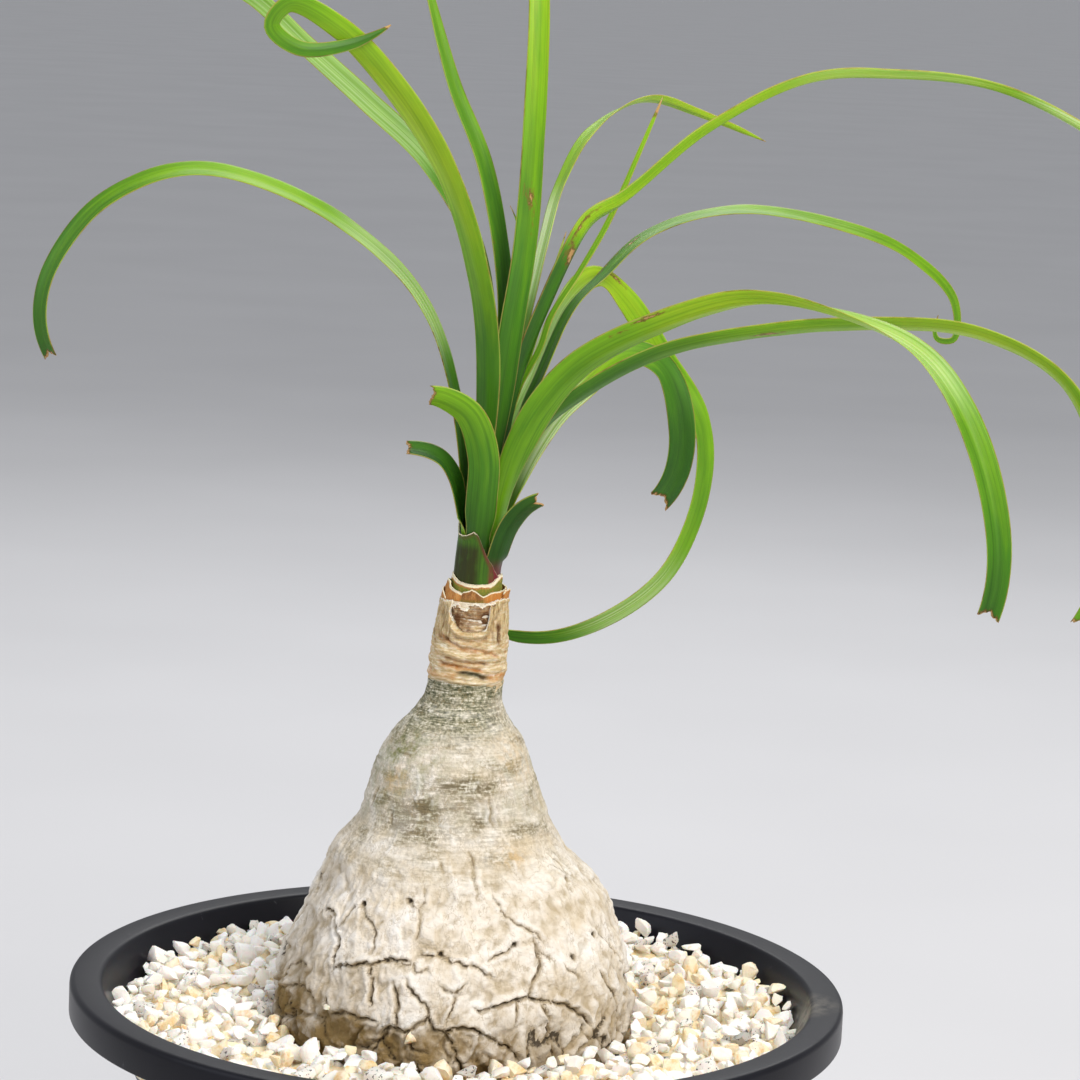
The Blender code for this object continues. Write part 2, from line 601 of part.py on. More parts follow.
def make_leaf(name, shape, finish):
    centre = smooth_curve(leaf_route(shape), shape["stations"])
    seat_fold = shape["base"] / 4 / math.hypot(centre[0][0] - crown_axis(centre[0][2]), centre[0][1])
    frames, shares = blade_frames(centre, shape["seat"][0], shape["turns"])
    rings = []
    for k, (middle, (tangent, side, up), share) in enumerate(zip(centre, frames, shares)):
        half = blade_width(share, shape) / 2
        fold = (seat_fold + (shape["fold"] - seat_fold) * min(1.0, share / 0.2)) * half
        back = tangent * (shape["notch"] if k == len(centre) - 1 else 0)
        lift = up * BLADE_THICK / 2
        edge_l, edge_r = middle - side * half + up * fold, middle + side * half + up * fold
        valley = middle - back
        across = (edge_l, valley, edge_r)
        rings.append([p + lift for p in across] + [p - lift for p in across[::-1]])
    points, faces = blade_skin(rings)
    return mesh_object(name, points, faces, finish)


def blade_skin(rings):
    """Both faces of the blade are split along the same diagonals, so that a bent strip stays closed."""
    points = [tuple(p) for one in rings for p in one]
    faces = [(1, 4, 5, 0), (2, 3, 4, 1)]
    for r in range(len(rings) - 1):
        a, b = r * 6, (r + 1) * 6
        for i, j in ((0, 1), (1, 2), (2, 3), (5, 0)):
            faces += [(b + j, a + j, a + i), (b + i, b + j, a + i)]
        for i, j in ((4, 5), (3, 4)):
            faces += [(b + i, b + j, a + j), (a + i, b + i, a + j)]
    last = (len(rings) - 1) * 6
    faces += [(last, last + 5, last + 4, last + 1), (last + 1, last + 4, last + 3, last + 2)]
    return points, faces


def main():
    clear_scene()
    plastic = material("charcoal_plastic", "2E2D32", 0.42)
    soil = material("potting_mix", "4A3B2C", 0.95)
    stones = material("quartz_grit", "E4D7BC", 0.7)
    bark = material("pale_bark", "C9BDA4", 0.85)
    papery = material("dry_sheath", "D8C193", 0.8)
    green = material("leaf_green", "5E9A2C", 0.4)
    deep_green = material("sheath_green", "47762C", 0.42)

    make_pot(plastic)
    make_mix(soil)
    make_grit(stones)
    make_stem(bark)
    for name in BANDS:
        make_band(name, papery)
    make_crown(deep_green)
    make_sheath(deep_green)
    for name, shape in LEAVES.items():
        make_leaf(name, shape, deep_green if name.startswith("stub") else green)


main()
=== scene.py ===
import itertools
import math
import random

import bmesh
import bpy
import numpy as np
from mathutils import Matrix, Vector, noise
from mathutils.bvhtree import BVHTree
from mathutils.kdtree import KDTree


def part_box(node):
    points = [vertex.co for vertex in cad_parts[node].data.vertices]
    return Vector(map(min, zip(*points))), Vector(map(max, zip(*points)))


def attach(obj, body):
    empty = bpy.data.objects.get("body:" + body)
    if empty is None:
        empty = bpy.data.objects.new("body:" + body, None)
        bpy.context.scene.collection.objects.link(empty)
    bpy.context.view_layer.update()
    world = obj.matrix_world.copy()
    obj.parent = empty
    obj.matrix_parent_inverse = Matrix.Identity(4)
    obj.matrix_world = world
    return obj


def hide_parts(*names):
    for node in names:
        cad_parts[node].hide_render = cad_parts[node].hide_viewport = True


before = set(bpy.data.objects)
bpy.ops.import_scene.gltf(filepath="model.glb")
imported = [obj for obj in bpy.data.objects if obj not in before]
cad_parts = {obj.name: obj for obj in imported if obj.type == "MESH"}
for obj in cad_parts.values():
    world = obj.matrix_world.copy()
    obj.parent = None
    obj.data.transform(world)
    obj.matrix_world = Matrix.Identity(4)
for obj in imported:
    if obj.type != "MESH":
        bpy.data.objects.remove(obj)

# A young ponytail palm in a dark plastic pot that is topped with crushed quartz.
# Lengths are in millimetres and mm turns them into metres. +Z is up and -Y is the front.
mm = 0.001
noise.seed_set(5)   # else noise_vector takes its start from the clock
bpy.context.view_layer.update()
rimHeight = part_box("pot")[1].z / mm   # the pot's top, which heights over the rim start from
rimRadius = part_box("pot")[1].x / mm
print("frame loaded, rim at", round(rimHeight, 1), "mm")


# Small helpers
def hexColour(text):
    channels = [int(text[i:i + 2], 16) / 255 for i in (0, 2, 4)]
    linear = [c / 12.92 if c <= 0.04045 else ((c + 0.055) / 1.055) ** 2.4 for c in channels]
    return (*linear, 1.0)


def addNode(tree, kind, inputs=None, stops=None, give=None, **settings):
    # adds a shader node and gives back its output; inputs are numbers, colours or other nodes' outputs,
    # and stops are a colour ramp's (place, hex)
    node = tree.nodes.new("ShaderNode" + kind)
    for key, value in settings.items():
        setattr(node, key, value)
    for key, value in (inputs or {}).items():
        if isinstance(value, bpy.types.NodeSocket):
            tree.links.new(value, node.inputs[key])
        else:
            node.inputs[key].default_value = value
    if stops:
        ramp = node.color_ramp
        while len(ramp.elements) < len(stops):
            ramp.elements.new(0.5)
        for element, (place, colour) in zip(ramp.elements, stops):
            element.position = place
            element.color = hexColour(colour)
    if give == "all":
        return node.outputs
    return node.outputs[give] if give else next(output for output in node.outputs if output.enabled)


def newMaterial(name, **sockets):
    material = bpy.data.materials.new(name)
    material.use_nodes = True
    shader = material.node_tree.nodes["Principled BSDF"]
    for key, value in sockets.items():
        shader.inputs[key.replace("_", " ")].default_value = value
    return material, material.node_tree, shader


def maths(tree, operation, *values, **settings):
    return addNode(tree, "Math", dict(enumerate(values)), operation=operation, **settings)


def rescale(tree, value, start=0.0, end=1.0, low=0.0, high=1.0):
    return addNode(tree, "MapRange", {"Value": value, "From Min": start, "From Max": end, "To Min": low,
                                      "To Max": high})


def colourRamp(tree, value, *stops):
    return addNode(tree, "ValToRGB", {"Fac": value}, stops=stops)


def layerVector(tree, name):
    return addNode(tree, "Attribute", give="Vector", attribute_name=name)


def layerValue(tree, name):
    return addNode(tree, "Attribute", give="Fac", attribute_name=name)


def layerParts(tree, name):
    return addNode(tree, "SeparateXYZ", {"Vector": layerVector(tree, name)}, give="all")


def plugIn(tree, shader, colour, relief, strength, depth, **sockets):
    # colour, bump and any other sockets; depth is how deep the bump is in metres
    sockets = {"Base_Color": colour, **sockets,
               "Normal": addNode(tree, "Bump", {"Height": relief, "Strength": strength, "Distance": depth})}
    for key, output in sockets.items():
        tree.links.new(output, shader.inputs[key.replace("_", " ")])


def inMillimetres(tree):
    place = addNode(tree, "TexCoord", give="Object")
    return addNode(tree, "VectorMath", {0: place, 1: (1 / mm,) * 3}, operation="MULTIPLY")


def speckles(tree, place, sizes):
    # noise patterns by name: (size in mm, detail, how much finer along x, y and z)
    patterns = {}
    for name, (size, detail, stretch) in sizes.items():
        spot = addNode(tree, "VectorMath", {0: place, 1: stretch}, operation="MULTIPLY")
        patterns[name] = addNode(tree, "TexNoise", {"Vector": spot, "Scale": 1 / size, "Detail": detail,
                                                    "Roughness": 0.6})
    return patterns


def layColours(tree, base, coats):
    # each coat is (mask or (mask, mask), where it starts, where it is full, how strong, hex or output)
    for mask, low, high, most, colour in coats:
        masks = mask if isinstance(mask, tuple) else (mask,)
        amount = rescale(tree, masks[-1], low, high, 0.0, most)
        if len(masks) > 1:
            amount = maths(tree, "MULTIPLY", amount, masks[0], use_clamp=True)
        over = hexColour(colour) if isinstance(colour, str) else colour
        base = addNode(tree, "Mix", {"Factor": amount, "A": base, "B": over}, data_type="RGBA")
    return base


def meshPiece(name, points, faces, material, replaced=(), layers=None, sharp=180.0):
    # points in millimetres; layers hold a number or a vector for each point, for the material to read;
    # points and layers may come as grids
    points = np.reshape(points, (-1, 3))
    mesh = bpy.data.meshes.new(name)
    mesh.from_pydata((points * mm).tolist(), [], faces)
    for key, values in (layers or {}).items():
        values = np.reshape(values, (len(points), -1)).astype(np.float32)
        kind, field = ("FLOAT", "value") if values.shape[1] == 1 else ("FLOAT_VECTOR", "vector")
        mesh.attributes.new(key, kind, "POINT").data.foreach_set(field, values.ravel())
    mesh.materials.append(material)
    mesh.shade_smooth()
    if sharp < 180:
        mesh.set_sharp_from_angle(angle=math.radians(sharp))
    piece = bpy.data.objects.new(name, mesh)
    bpy.context.scene.collection.objects.link(piece)
    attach(piece, "root")
    if replaced:
        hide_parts(*replaced)
    return piece


def stacked(*parts):
    return np.stack(np.broadcast_arrays(*parts), axis=-1)


def lookUp(table, at, **settings):
    return np.interp(at, *zip(*table), **settings)


def runAlong(points):
    # how far each point lies from the first, along the line
    return np.concatenate([[0], np.cumsum(np.linalg.norm(np.diff(points, axis=0), axis=1))])


def gridFaces(rows, columns, wrapColumns=False, wrapRows=False):
    r = np.arange(rows if wrapRows else rows - 1)
    c = np.arange(columns if wrapColumns else columns - 1)
    r, c = np.meshgrid(r, c, indexing="ij")
    r2, c2 = (r + 1) % rows, (c + 1) % columns
    return stacked(r * columns + c, r * columns + c2, r2 * columns + c2, r2 * columns + c).reshape(-1, 4)


def tubeFaces(rings, sides):
    # faces of a stack of rings with a cap on each end
    last = (rings - 1) * sides
    caps = [tuple(range(sides))[::-1], tuple(last + k for k in range(sides))]
    return gridFaces(rings, sides, wrapColumns=True).tolist() + caps


def sheetFaces(rows, columns, closed=False):
    # faces of a thin sheet whose outer points come first and whose inner points follow
    count = rows * columns
    outer = gridFaces(rows, columns, wrapRows=closed)
    faces = outer.tolist() + (outer[:, ::-1] + count).tolist()
    last = (rows - 1) * columns
    low, high = [k * columns for k in range(rows)], [k * columns + columns - 1 for k in range(rows)]
    if closed:
        borders = (low + [0], (high + [high[0]])[::-1])
    else:
        end, start = list(range(last + 1, last + columns)), list(range(columns - 2, -1, -1))
        borders = (low + end + high[::-1][1:] + start,)
    for border in borders:
        faces += [(b, a, a + count, b + count) for a, b in zip(border, border[1:])]
    return faces


def softNoise(points, size, octaves=3, seed=0.0):
    # from about -1 to 1, with lumps of the given size in mm, which may differ along x, y and z
    places = np.asarray(points, float) / size + (seed * 17.31, seed * 9.17, seed * 5.73)
    values = [noise.fractal(Vector(place), 1.0, 2.0, octaves) for place in places.reshape(-1, 3)]
    return np.reshape(values, places.shape[:-1])


def smoothStep(low, high, x):
    t = np.clip((np.asarray(x, float) - low) / (high - low), 0, 1)
    return t * t * (3 - 2 * t)


def belt(low, rise, high, fall, x):
    # 1 between low and high, rising after the one and falling before the other
    return smoothStep(low, low + rise, x) * (1 - smoothStep(high - fall, high, x))


def wrapSheet(name, material, replaced, middle, angle, z, radius, thick, layers):
    # a thin sheet round the crown or the neck, by angle and row, with the outer face's points before
    # the inner's; layers are the same for both faces, or hold one grid for each
    both = np.stack([radius, radius - thick])
    points = stacked(middle + both * np.cos(angle), both * np.sin(angle), z)
    closed = angle[-1, 0] - angle[0, 0] > math.radians(350)
    layers = {key: np.broadcast_to(values, points.shape) for key, values in layers.items()}
    meshPiece(name, points, sheetFaces(*z.shape, closed=closed), material, (replaced,), layers)


def curveThrough(points, count):
    # a smooth curve through the points, with closely spaced points taken more slowly
    p = np.asarray(points, float)
    steps = np.sqrt(np.linalg.norm(np.diff(p, axis=0), axis=1))
    at = np.concatenate([[0], np.cumsum(steps)])
    runs = np.diff(p, axis=0) / steps[:, None]
    share = (steps[:-1] / (steps[:-1] + steps[1:]))[:, None]
    slopes = np.zeros_like(p)
    slopes[1:-1] = runs[:-1] * (1 - share) + runs[1:] * share
    slopes[0] = 2 * runs[0] - slopes[1]
    slopes[-1] = 2 * runs[-1] - slopes[-2]
    want = np.linspace(0, at[-1], count)
    i = np.clip(np.searchsorted(at, want, side="right") - 1, 0, len(steps) - 1)
    u = ((want - at[i]) / steps[i])[:, None]
    h = steps[i][:, None]
    return ((2 * u**3 - 3 * u**2 + 1) * p[i] + (u**3 - 2 * u**2 + u) * h * slopes[i]
            + (3 * u**2 - 2 * u**3) * p[i + 1] + (u**3 - u**2) * h * slopes[i + 1])


# Leaf blades
crownShape = {
    "outline": ((236.8, 5.0), (238.0, 5.4), (247.0, 5.4), (254.0, 5.0), (262.0, 4.2), (270.0, 3.2),
                (277.0, 2.1), (281.0, 1.0)),   # height and radius of the bundle of leaf bases
    "footX": 0.5,
    "lean": 0.06,   # sideways for each mm of height
    "sides": 80,
    "rings": 60,
    "bases": 5,     # leaf bases wrapped round it, each ending in a step of this share of the radius
    "step": 0.08,
    "twist": 0.05,
}
bladeShape = {
    "seatGap": 0.1,
    "cadThick": 0.7,
    "thick": 0.6,        # at the midrib
    "edgeThick": 0.22,
    "across": 13,        # points from margin to margin
    "spacing": 2.0,      # between stations along the blade
    "wave": 0.22,        # how far the margins undulate
    "footRows": 5,
    "footDrop": 6.5,     # the foot reaches this far below the seat
    "redFrom": 248.5,    # a foot lower than this flushes wine red
    "redFull": 244.0,
    "redWithin": 12.0,   # but no further along the blade
}


def leafPlan(seat, width, tip, turns, route, fold=0.16, notch=0.0, base=4.6, agesAndShade=((0, 0.7), (1, 0.4)),
             pale=(), dryTip=0.0, scars=(), clasp=None, under=-0.1, sink=1.5):
    # seat is (degrees round the crown, height); turns and ages are (share of length, degrees or age);
    # age 0 is a bright young green and 1 a dark blue-green, the ages holding painted shade where the blade
    # lies in shade as well as the leaf's own age, and the under face differs by under; pale holds (start,
    # end, strength), stretches that are partly pale tissue and partly a painted sheen; clasp is the width
    # where the foot wraps the crown and sink how deep it goes in; scars are (share of length, place across,
    # length and width in mm, how brown), with the place from -1 to 1
    return {"seat": seat, "width": width, "tip": tip, "turns": turns, "route": route, "fold": fold,
            "notch": notch, "base": base, "agesAndShade": agesAndShade, "pale": pale, "dryTip": dryTip, "scars": scars,
            "clasp": clasp or base * 1.25, "under": under, "sink": sink}


leafPlans = {
    "leaf_left_arch": leafPlan(
        (142, 254.5), 7.0, 4.6, ((0, 0), (0.19, 19), (0.45, 26), (0.68, 36), (1, 30)),
        ((-8, 1, 292), (-16, -6, 314), (-29, -12, 329), (-53, -24, 344), (-77, -32, 349),
         (-98, -38, 340), (-110, -42, 323), (-112, -43, 311), (-109, -43, 301)),
        notch=1.0, agesAndShade=((0, 1.0), (0.1, 0.9), (0.3, 0.5), (0.6, 0.28), (0.8, 0.5), (1, 0.8)),
        pale=((0.2, 0.5, 0.4),), dryTip=0.8,
        scars=((0.2, 0.95, 44, 0.9, 0.7), (0.17, -0.95, 34, 0.8, 0.6))),
    "leaf_front_curl": leafPlan(
        (238, 262), 7.0, 2.0, ((0, 0), (0.18, 8), (0.31, 5), (0.48, 11), (0.65, 37), (0.77, 62), (1, 48)),
        ((1, -10, 301), (-3, -28, 327), (-11, -54, 352), (-24, -84, 374), (-37, -102, 388),
         (-48, -108, 393), (-52, -108, 388), (-46, -105, 383), (-35, -100, 384), (-25, -97, 389)),
        agesAndShade=((0, 0.95), (0.2, 0.75), (0.35, 0.4), (0.5, 0.08), (0.72, 0.25), (0.85, 0.55), (1, 0.8)),
        dryTip=2.0, scars=((0.33, 0.95, 16, 0.8, 0.55),)),
    "leaf_left_rise": leafPlan(
        (140, 262), 6.5, 3.0, ((0, 0), (0.3, 9), (0.48, -24), (0.73, -35), (1, -65)),
        ((1, 7, 302), (-2, 11, 325), (-16, 15, 350), (-34, 19, 366), (-51, 22, 380),
         (-67, 26, 393), (-83, 28, 398), (-96, 30, 394)),
        agesAndShade=((0, 0.95), (0.3, 0.62), (0.6, 0.45), (1, 0.5)), pale=((0.45, 1.1, 0.25),), dryTip=2.0),
    "leaf_left_blade": leafPlan(
        (132, 270), 5.6, 1.6, ((0, 0), (1, -8)),
        ((5, 4, 306), (4, 6, 324), (-2, 9, 351), (-11, 12, 372), (-18, 16, 394), (-21, 18, 405)),
        base=3.8, agesAndShade=((0, 0.95), (0.4, 0.7), (0.7, 0.45), (1, 0.35)), dryTip=2.0,
        scars=((0.42, 0.8, 12, 0.8, 0.5),)),
    "leaf_upright": leafPlan(
        (285, 270), 7.0, 3.6, ((0, 0), (0.23, 9), (0.52, 17), (1, 5)),
        ((7, -3, 307), (10, 0, 332), (11, 3, 360), (11, 8, 395), (9, 16, 418), (4, 30, 436)),
        base=3.8, agesAndShade=((0, 0.95), (0.25, 0.8), (0.45, 0.6), (0.6, 0.35), (1, 0.12)), dryTip=2.0,
        scars=((0.425, -0.1, 6, 3.4, 0.75), (0.39, 0.35, 9, 1.6, 0.6), (0.45, -0.6, 8, 0.8, 0.5))),
    "leaf_back_arch": leafPlan(
        (60, 270), 5.0, 1.2, ((0, 0), (0.21, -28), (0.43, -25), (0.58, -8), (0.76, -32), (1, -50)),
        ((6.5, 7, 290), (11, 13, 310), (15, 26, 329), (19, 42, 344), (28, 66, 359), (45, 96, 367),
         (60, 112, 363), (81, 124, 355)), base=3.6, agesAndShade=((0, 0.7), (0.2, 0.35), (0.6, 0.2), (1, 0.25)),
        pale=((0.2, 0.46, 0.75),), dryTip=2.5, scars=((0.2, 0.5, 10, 1.0, 0.5),)),
    "leaf_thin_back": leafPlan(
        (69, 262), 1.9, 0.9, ((0, 0), (0.5, -20), (1, 10)),
        ((9, 7.8, 290), (15, 9.5, 303), (17.5, 12, 311), (25, 20, 323), (32.5, 32, 336), (41, 50, 355),
         (47, 64, 369)), base=1.6, agesAndShade=((0, 0.6), (0.4, 0.35), (1, 0.2)), dryTip=9.0,
        scars=((0.66, 0.0, 5, 1.0, 0.45),)),
    "leaf_short_back": leafPlan(
        (92, 262), 1.4, 0.8, ((0, 0), (1, 10)),
        ((9, 14, 288), (14, 19, 306), (18, 24, 322), (21, 29, 333)),
        base=1.5, agesAndShade=((0, 0.5), (1, 0.15)), dryTip=3.0),
    "leaf_slip_behind": leafPlan(
        (200, 277), 2.2, 0.8, ((0, 0), (1, 15)),
        ((3.6, 0, 289), (6.5, 1, 300), (9, 3.5, 322), (8, 4, 334), (5.3, 4, 341)),
        base=1.4, agesAndShade=((0, 0.5), (1, 0.2)), dryTip=3.0),
    "leaf_kinked": leafPlan(
        (355, 270), 5.4, 1.8, ((0, 0), (0.12, -38), (0.27, -38), (0.34, -18), (0.75, 0), (0.94, -25)),
        ((8.5, 0.5, 288), (11, 3, 300), (16, 6, 314), (26, 10, 336), (29, 11, 339), (36, 14, 343),
         (58, 22, 362), (85, 32, 376), (108, 38, 378), (136, 44, 376), (162, 48, 366), (180, 50, 354),
         (189, 50, 340)),
        fold=0.5, base=3.8, agesAndShade=((0, 1.0), (0.22, 0.95), (0.26, 0.35), (0.6, 0.25), (1, 0.3)),
        pale=((0.5, 0.78, 0.25), (0.76, 1.02, 0.65)), dryTip=2.0,
        scars=((0.232, 0.1, 7, 3.6, 1.0), (0.26, -0.6, 14, 1.0, 0.8), (0.19, 0.8, 20, 0.8, 0.7))),
    "leaf_hooked_tip": leafPlan(
        (30, 262), 5.2, 1.4, ((0, 0), (0.2, -4), (0.38, 15), (0.53, 38), (0.8, 79), (0.9, 125), (1, 120)),
        ((12, 4.5, 287), (15.5, 6.5, 296), (23, 14.5, 313), (31, 25, 321), (44, 42, 332), (69, 66, 338),
         (102, 94, 333), (123, 108, 325), (139, 118, 311), (140, 120, 299), (135, 120, 299),
         (135, 120, 306)),
        base=4.2, agesAndShade=((0, 0.85), (0.3, 0.6), (0.5, 0.4), (0.7, 0.3), (1, 0.45)), pale=((0.42, 0.78, 0.12),),
        dryTip=1.5, scars=((0.36, 0.5, 9, 1.1, 0.8), (0.31, 0.8, 22, 0.7, 0.7))),
    "leaf_right_low": leafPlan(
        (337, 262), 7.0, 4.8, ((0, 0), (0.09, -22), (0.71, -18), (0.82, -27), (0.92, -50), (1, -80)),
        ((15, -3, 282), (24, -5, 291), (45, -6, 304), (70, -9, 311), (101, -12, 315), (129, -16, 314),
         (151, -20, 303), (162, -24, 281), (164, -28, 258), (157, -31, 240)),
        notch=2.0, base=4.2, agesAndShade=((0, 0.8), (0.2, 0.68), (0.4, 0.38), (0.6, 0.18), (0.8, 0.3), (1, 0.65)),
        dryTip=0.7, scars=((0.375, 0.2, 9, 1.8, 1.0), (0.34, 0.8, 10, 0.8, 0.7))),
    "leaf_right_wide": leafPlan(
        (322, 254.5), 8.4, 6.0,
        ((0, 0), (0.12, -52), (0.23, -38), (0.47, -20), (0.57, 0), (0.69, 24), (0.8, 47), (1, 60)),
        ((11, -10, 280), (24, -16, 300), (44, -25, 313), (68, -38, 322), (91, -52, 320),
         (109, -62, 312), (122, -68, 293), (129, -72, 266), (127, -73, 249)),
        fold=0.4, notch=2.0, base=5.4,
        agesAndShade=((0, 0.6), (0.15, 0.55), (0.3, 0.4), (0.45, 0.12), (0.62, 0.2), (0.78, 0.4), (0.9, 0.6),
              (1, 0.8)),
        pale=((0.58, 0.78, 0.4),), dryTip=0.7, scars=((0.345, -0.85, 12, 1.1, 1.0),
                                                      (0.3, -0.7, 8, 0.6, 0.7))),
    "leaf_back_loop": leafPlan(
        (92, 254.5), 7.0, 3.4,
        ((0, 0), (0.18, -56), (0.28, -48), (0.35, 16), (0.42, 65), (0.5, 80), (0.58, 38), (1, 50)),
        ((6, 12, 275), (14, 18, 294), (21, 28, 312), (30, 39, 320), (39, 46, 313), (50, 50, 297),
         (61.5, 50, 279), (62, 48, 259), (53, 44, 237), (36, 40, 224), (20, 38, 219), (4, 38, 221)),
        agesAndShade=((0, 0.6), (0.2, 0.3), (0.36, 0.05), (0.45, 0.3), (0.6, 0.45), (0.75, 0.3), (0.88, 0.5),
              (1, 0.9)),
        pale=((0.1, 0.335, 0.85), (0.72, 0.92, 0.5)), dryTip=2.0,
        scars=((0.375, 0.7, 7, 1.6, 0.9), (0.39, -0.2, 3, 1.0, 0.5))),
    "leaf_right_droop": leafPlan(
        (22, 254.5), 8.2, 6.4, ((0, 0), (0.25, 36), (0.54, 52), (0.65, 73), (0.8, 118), (1, 120)),
        ((17, 9, 281), (26, 15, 291), (39, 22, 301), (49, 27, 297), (55, 28, 281), (54, 27, 268),
         (49, 25, 260)),
        notch=2.4, base=5.0, agesAndShade=((0, 0.5), (0.3, 0.3), (0.5, 0.3), (0.62, 0.6), (0.8, 0.85), (1, 0.95)),
        pale=((0.08, 0.44, 0.8),), dryTip=0.8, scars=((0.24, 0.95, 40, 0.8, 0.8),)),
    "stub_front": leafPlan(
        (257, 253.4), 8.4, 6.0, ((0, 0), (0.23, 10), (0.5, 14), (1, 2)),
        ((1, -9, 264), (1, -12, 276), (-3, -15, 287), (-9, -16, 291), (-14, -17, 292)),
        notch=0.8, base=6.6, agesAndShade=((0, 0.95), (0.35, 0.7), (0.7, 0.5), (1, 0.35)), dryTip=0.5, clasp=11.0),
    "stub_left": leafPlan(
        (195, 253.8), 6.4, 5.2, ((0, 0), (0.15, -40), (0.45, -45), (0.71, -31), (1, -24)),
        ((-5, -3, 263), (-7, -6, 270), (-11, -8, 275), (-20, -10, 277)),
        notch=1.0, base=4.4, agesAndShade=((0, 1.0), (1, 0.9)), dryTip=0.6, clasp=7.0, under=-0.6),
    "stub_right": leafPlan(
        (322, 244.9), 6.0, 4.8, ((0, 0), (0.15, -25), (1, -40)),
        ((7, -7, 252), (9, -9, 257.5), (12.5, -11.5, 262.5), (17, -13, 265.3)),
        notch=1.6, base=8.8, agesAndShade=((0, 1.2), (0.6, 1.1), (1, 0.95)), dryTip=0.6, clasp=14.0, sink=0.1),
}
# a dead leaf's stump, at the right of the crown between the living ones
deadStump = leafPlan((332, 260.5), 2.8, 0.7, ((0, 10), (1, 35)),
                     ((8.1, -3.6, 264.4), (9.3, -3.5, 267.2), (10.6, -3.2, 270.2), (12.0, -2.9, 272.8)),
                     base=2.2, fold=0.9, dryTip=60.0)


def crownX(z):
    return crownShape["footX"] + crownShape["lean"] * (z - crownShape["outline"][0][0])


def bladeMaterial():
    # Living leaf: a waxy cuticle over green tissue, IOR about 1.45. Light passes through it, parallel
    # veins about 0.5 mm apart run its whole length, and the margins dry to a straw line 0.3 mm wide.
    material, tree, shader = newMaterial(
        "livingLeafCuticle", IOR=1.45, Specular_IOR_Level=0.34, Subsurface_Weight=0.15,
        Subsurface_Scale=0.0015, Subsurface_Radius=(0.35, 1.0, 0.1))
    place = layerVector(tree, "bladePlace")   # mm across, mm along, a number for the leaf
    ageAndShade, dry, pale = layerParts(tree, "bladeLook")
    edge, red = layerValue(tree, "bladeEdge"), layerValue(tree, "bladeRed")   # edge: mm in from the margin
    noises = speckles(tree, place, {"veins": (1, 3, (2.4, 0.008, 1)), "broad": (1, 3, (0.3, 0.03, 1)),
                                    "margin": (8, 2, (1, 1, 1)), "ragged": (1.1, 3, (1.6, 0.6, 1))})
    veins, broad = noises["veins"], noises["broad"]
    # age sets the green: darker for older tissue and for painted shade where the blade lies in shade
    ageingAndShade = maths(tree, "ADD", ageAndShade, rescale(tree, broad, low=-0.3, high=0.3))
    green = colourRamp(tree, ageingAndShade, (0.0, "A9C81E"), (0.3, "7BAC10"), (0.62, "467C10"), (1.0, "24500F"))
    veined = colourRamp(tree, veins, (0.3, "B8C48C"), (0.5, "E8EED8"), (0.7, "FFFFFF"))
    green = addNode(tree, "Mix", {"Factor": 0.75, "A": green, "B": veined}, data_type="RGBA",
                    blend_type="MULTIPLY")
    ghost = colourRamp(tree, veins, (0.36, "90B654"), (0.5, "B4CE84"), (0.64, "DCE8BE"))
    straw = colourRamp(tree, noises["margin"], (0.4, "A9AE4A"), (0.55, "B08E4E"), (0.7, "80502C"))
    raggedDry = maths(tree, "ADD", dry, noises["ragged"])
    dead = colourRamp(tree, raggedDry, (0.85, "7A4A20"), (0.95, "5A3216"), (1.0, "B08A58"))
    colour = layColours(tree, green, (
        # pale stretches, partly pale tissue and partly a painted sheen
        (pale, 0.0, 1.0, 1.0, ghost),
        (red, 0.0, 1.0, 0.85, "64202C"),
        (edge, 0.26, 0.12, 0.6, straw),
        (raggedDry, 0.72, 0.98, 1.0, dead)))
    plugIn(tree, shader, colour, veins, 0.3, 0.0002, Roughness=rescale(tree, broad, low=0.36, high=0.56))
    return material


def bladeFrames(centre, azimuth, turns):
    # sideways and upper directions at each station, carried along without twist and then turned
    tangents = np.gradient(centre, axis=0)
    tangents /= np.linalg.norm(tangents, axis=1)[:, None]
    side = np.array([-math.sin(math.radians(azimuth)), math.cos(math.radians(azimuth)), 0.0])
    run = runAlong(centre)
    rolls = np.radians(lookUp(turns, run / run[-1]))
    sides, ups = [], []
    for tangent, roll in zip(tangents, rolls):
        side = side - tangent * (side @ tangent)
        side /= np.linalg.norm(side)
        up = np.cross(tangent, side)
        sides.append(side * math.cos(roll) + up * math.sin(roll))
        ups.append(up * math.cos(roll) - side * math.sin(roll))
    return tangents, np.array(sides), np.array(ups), run


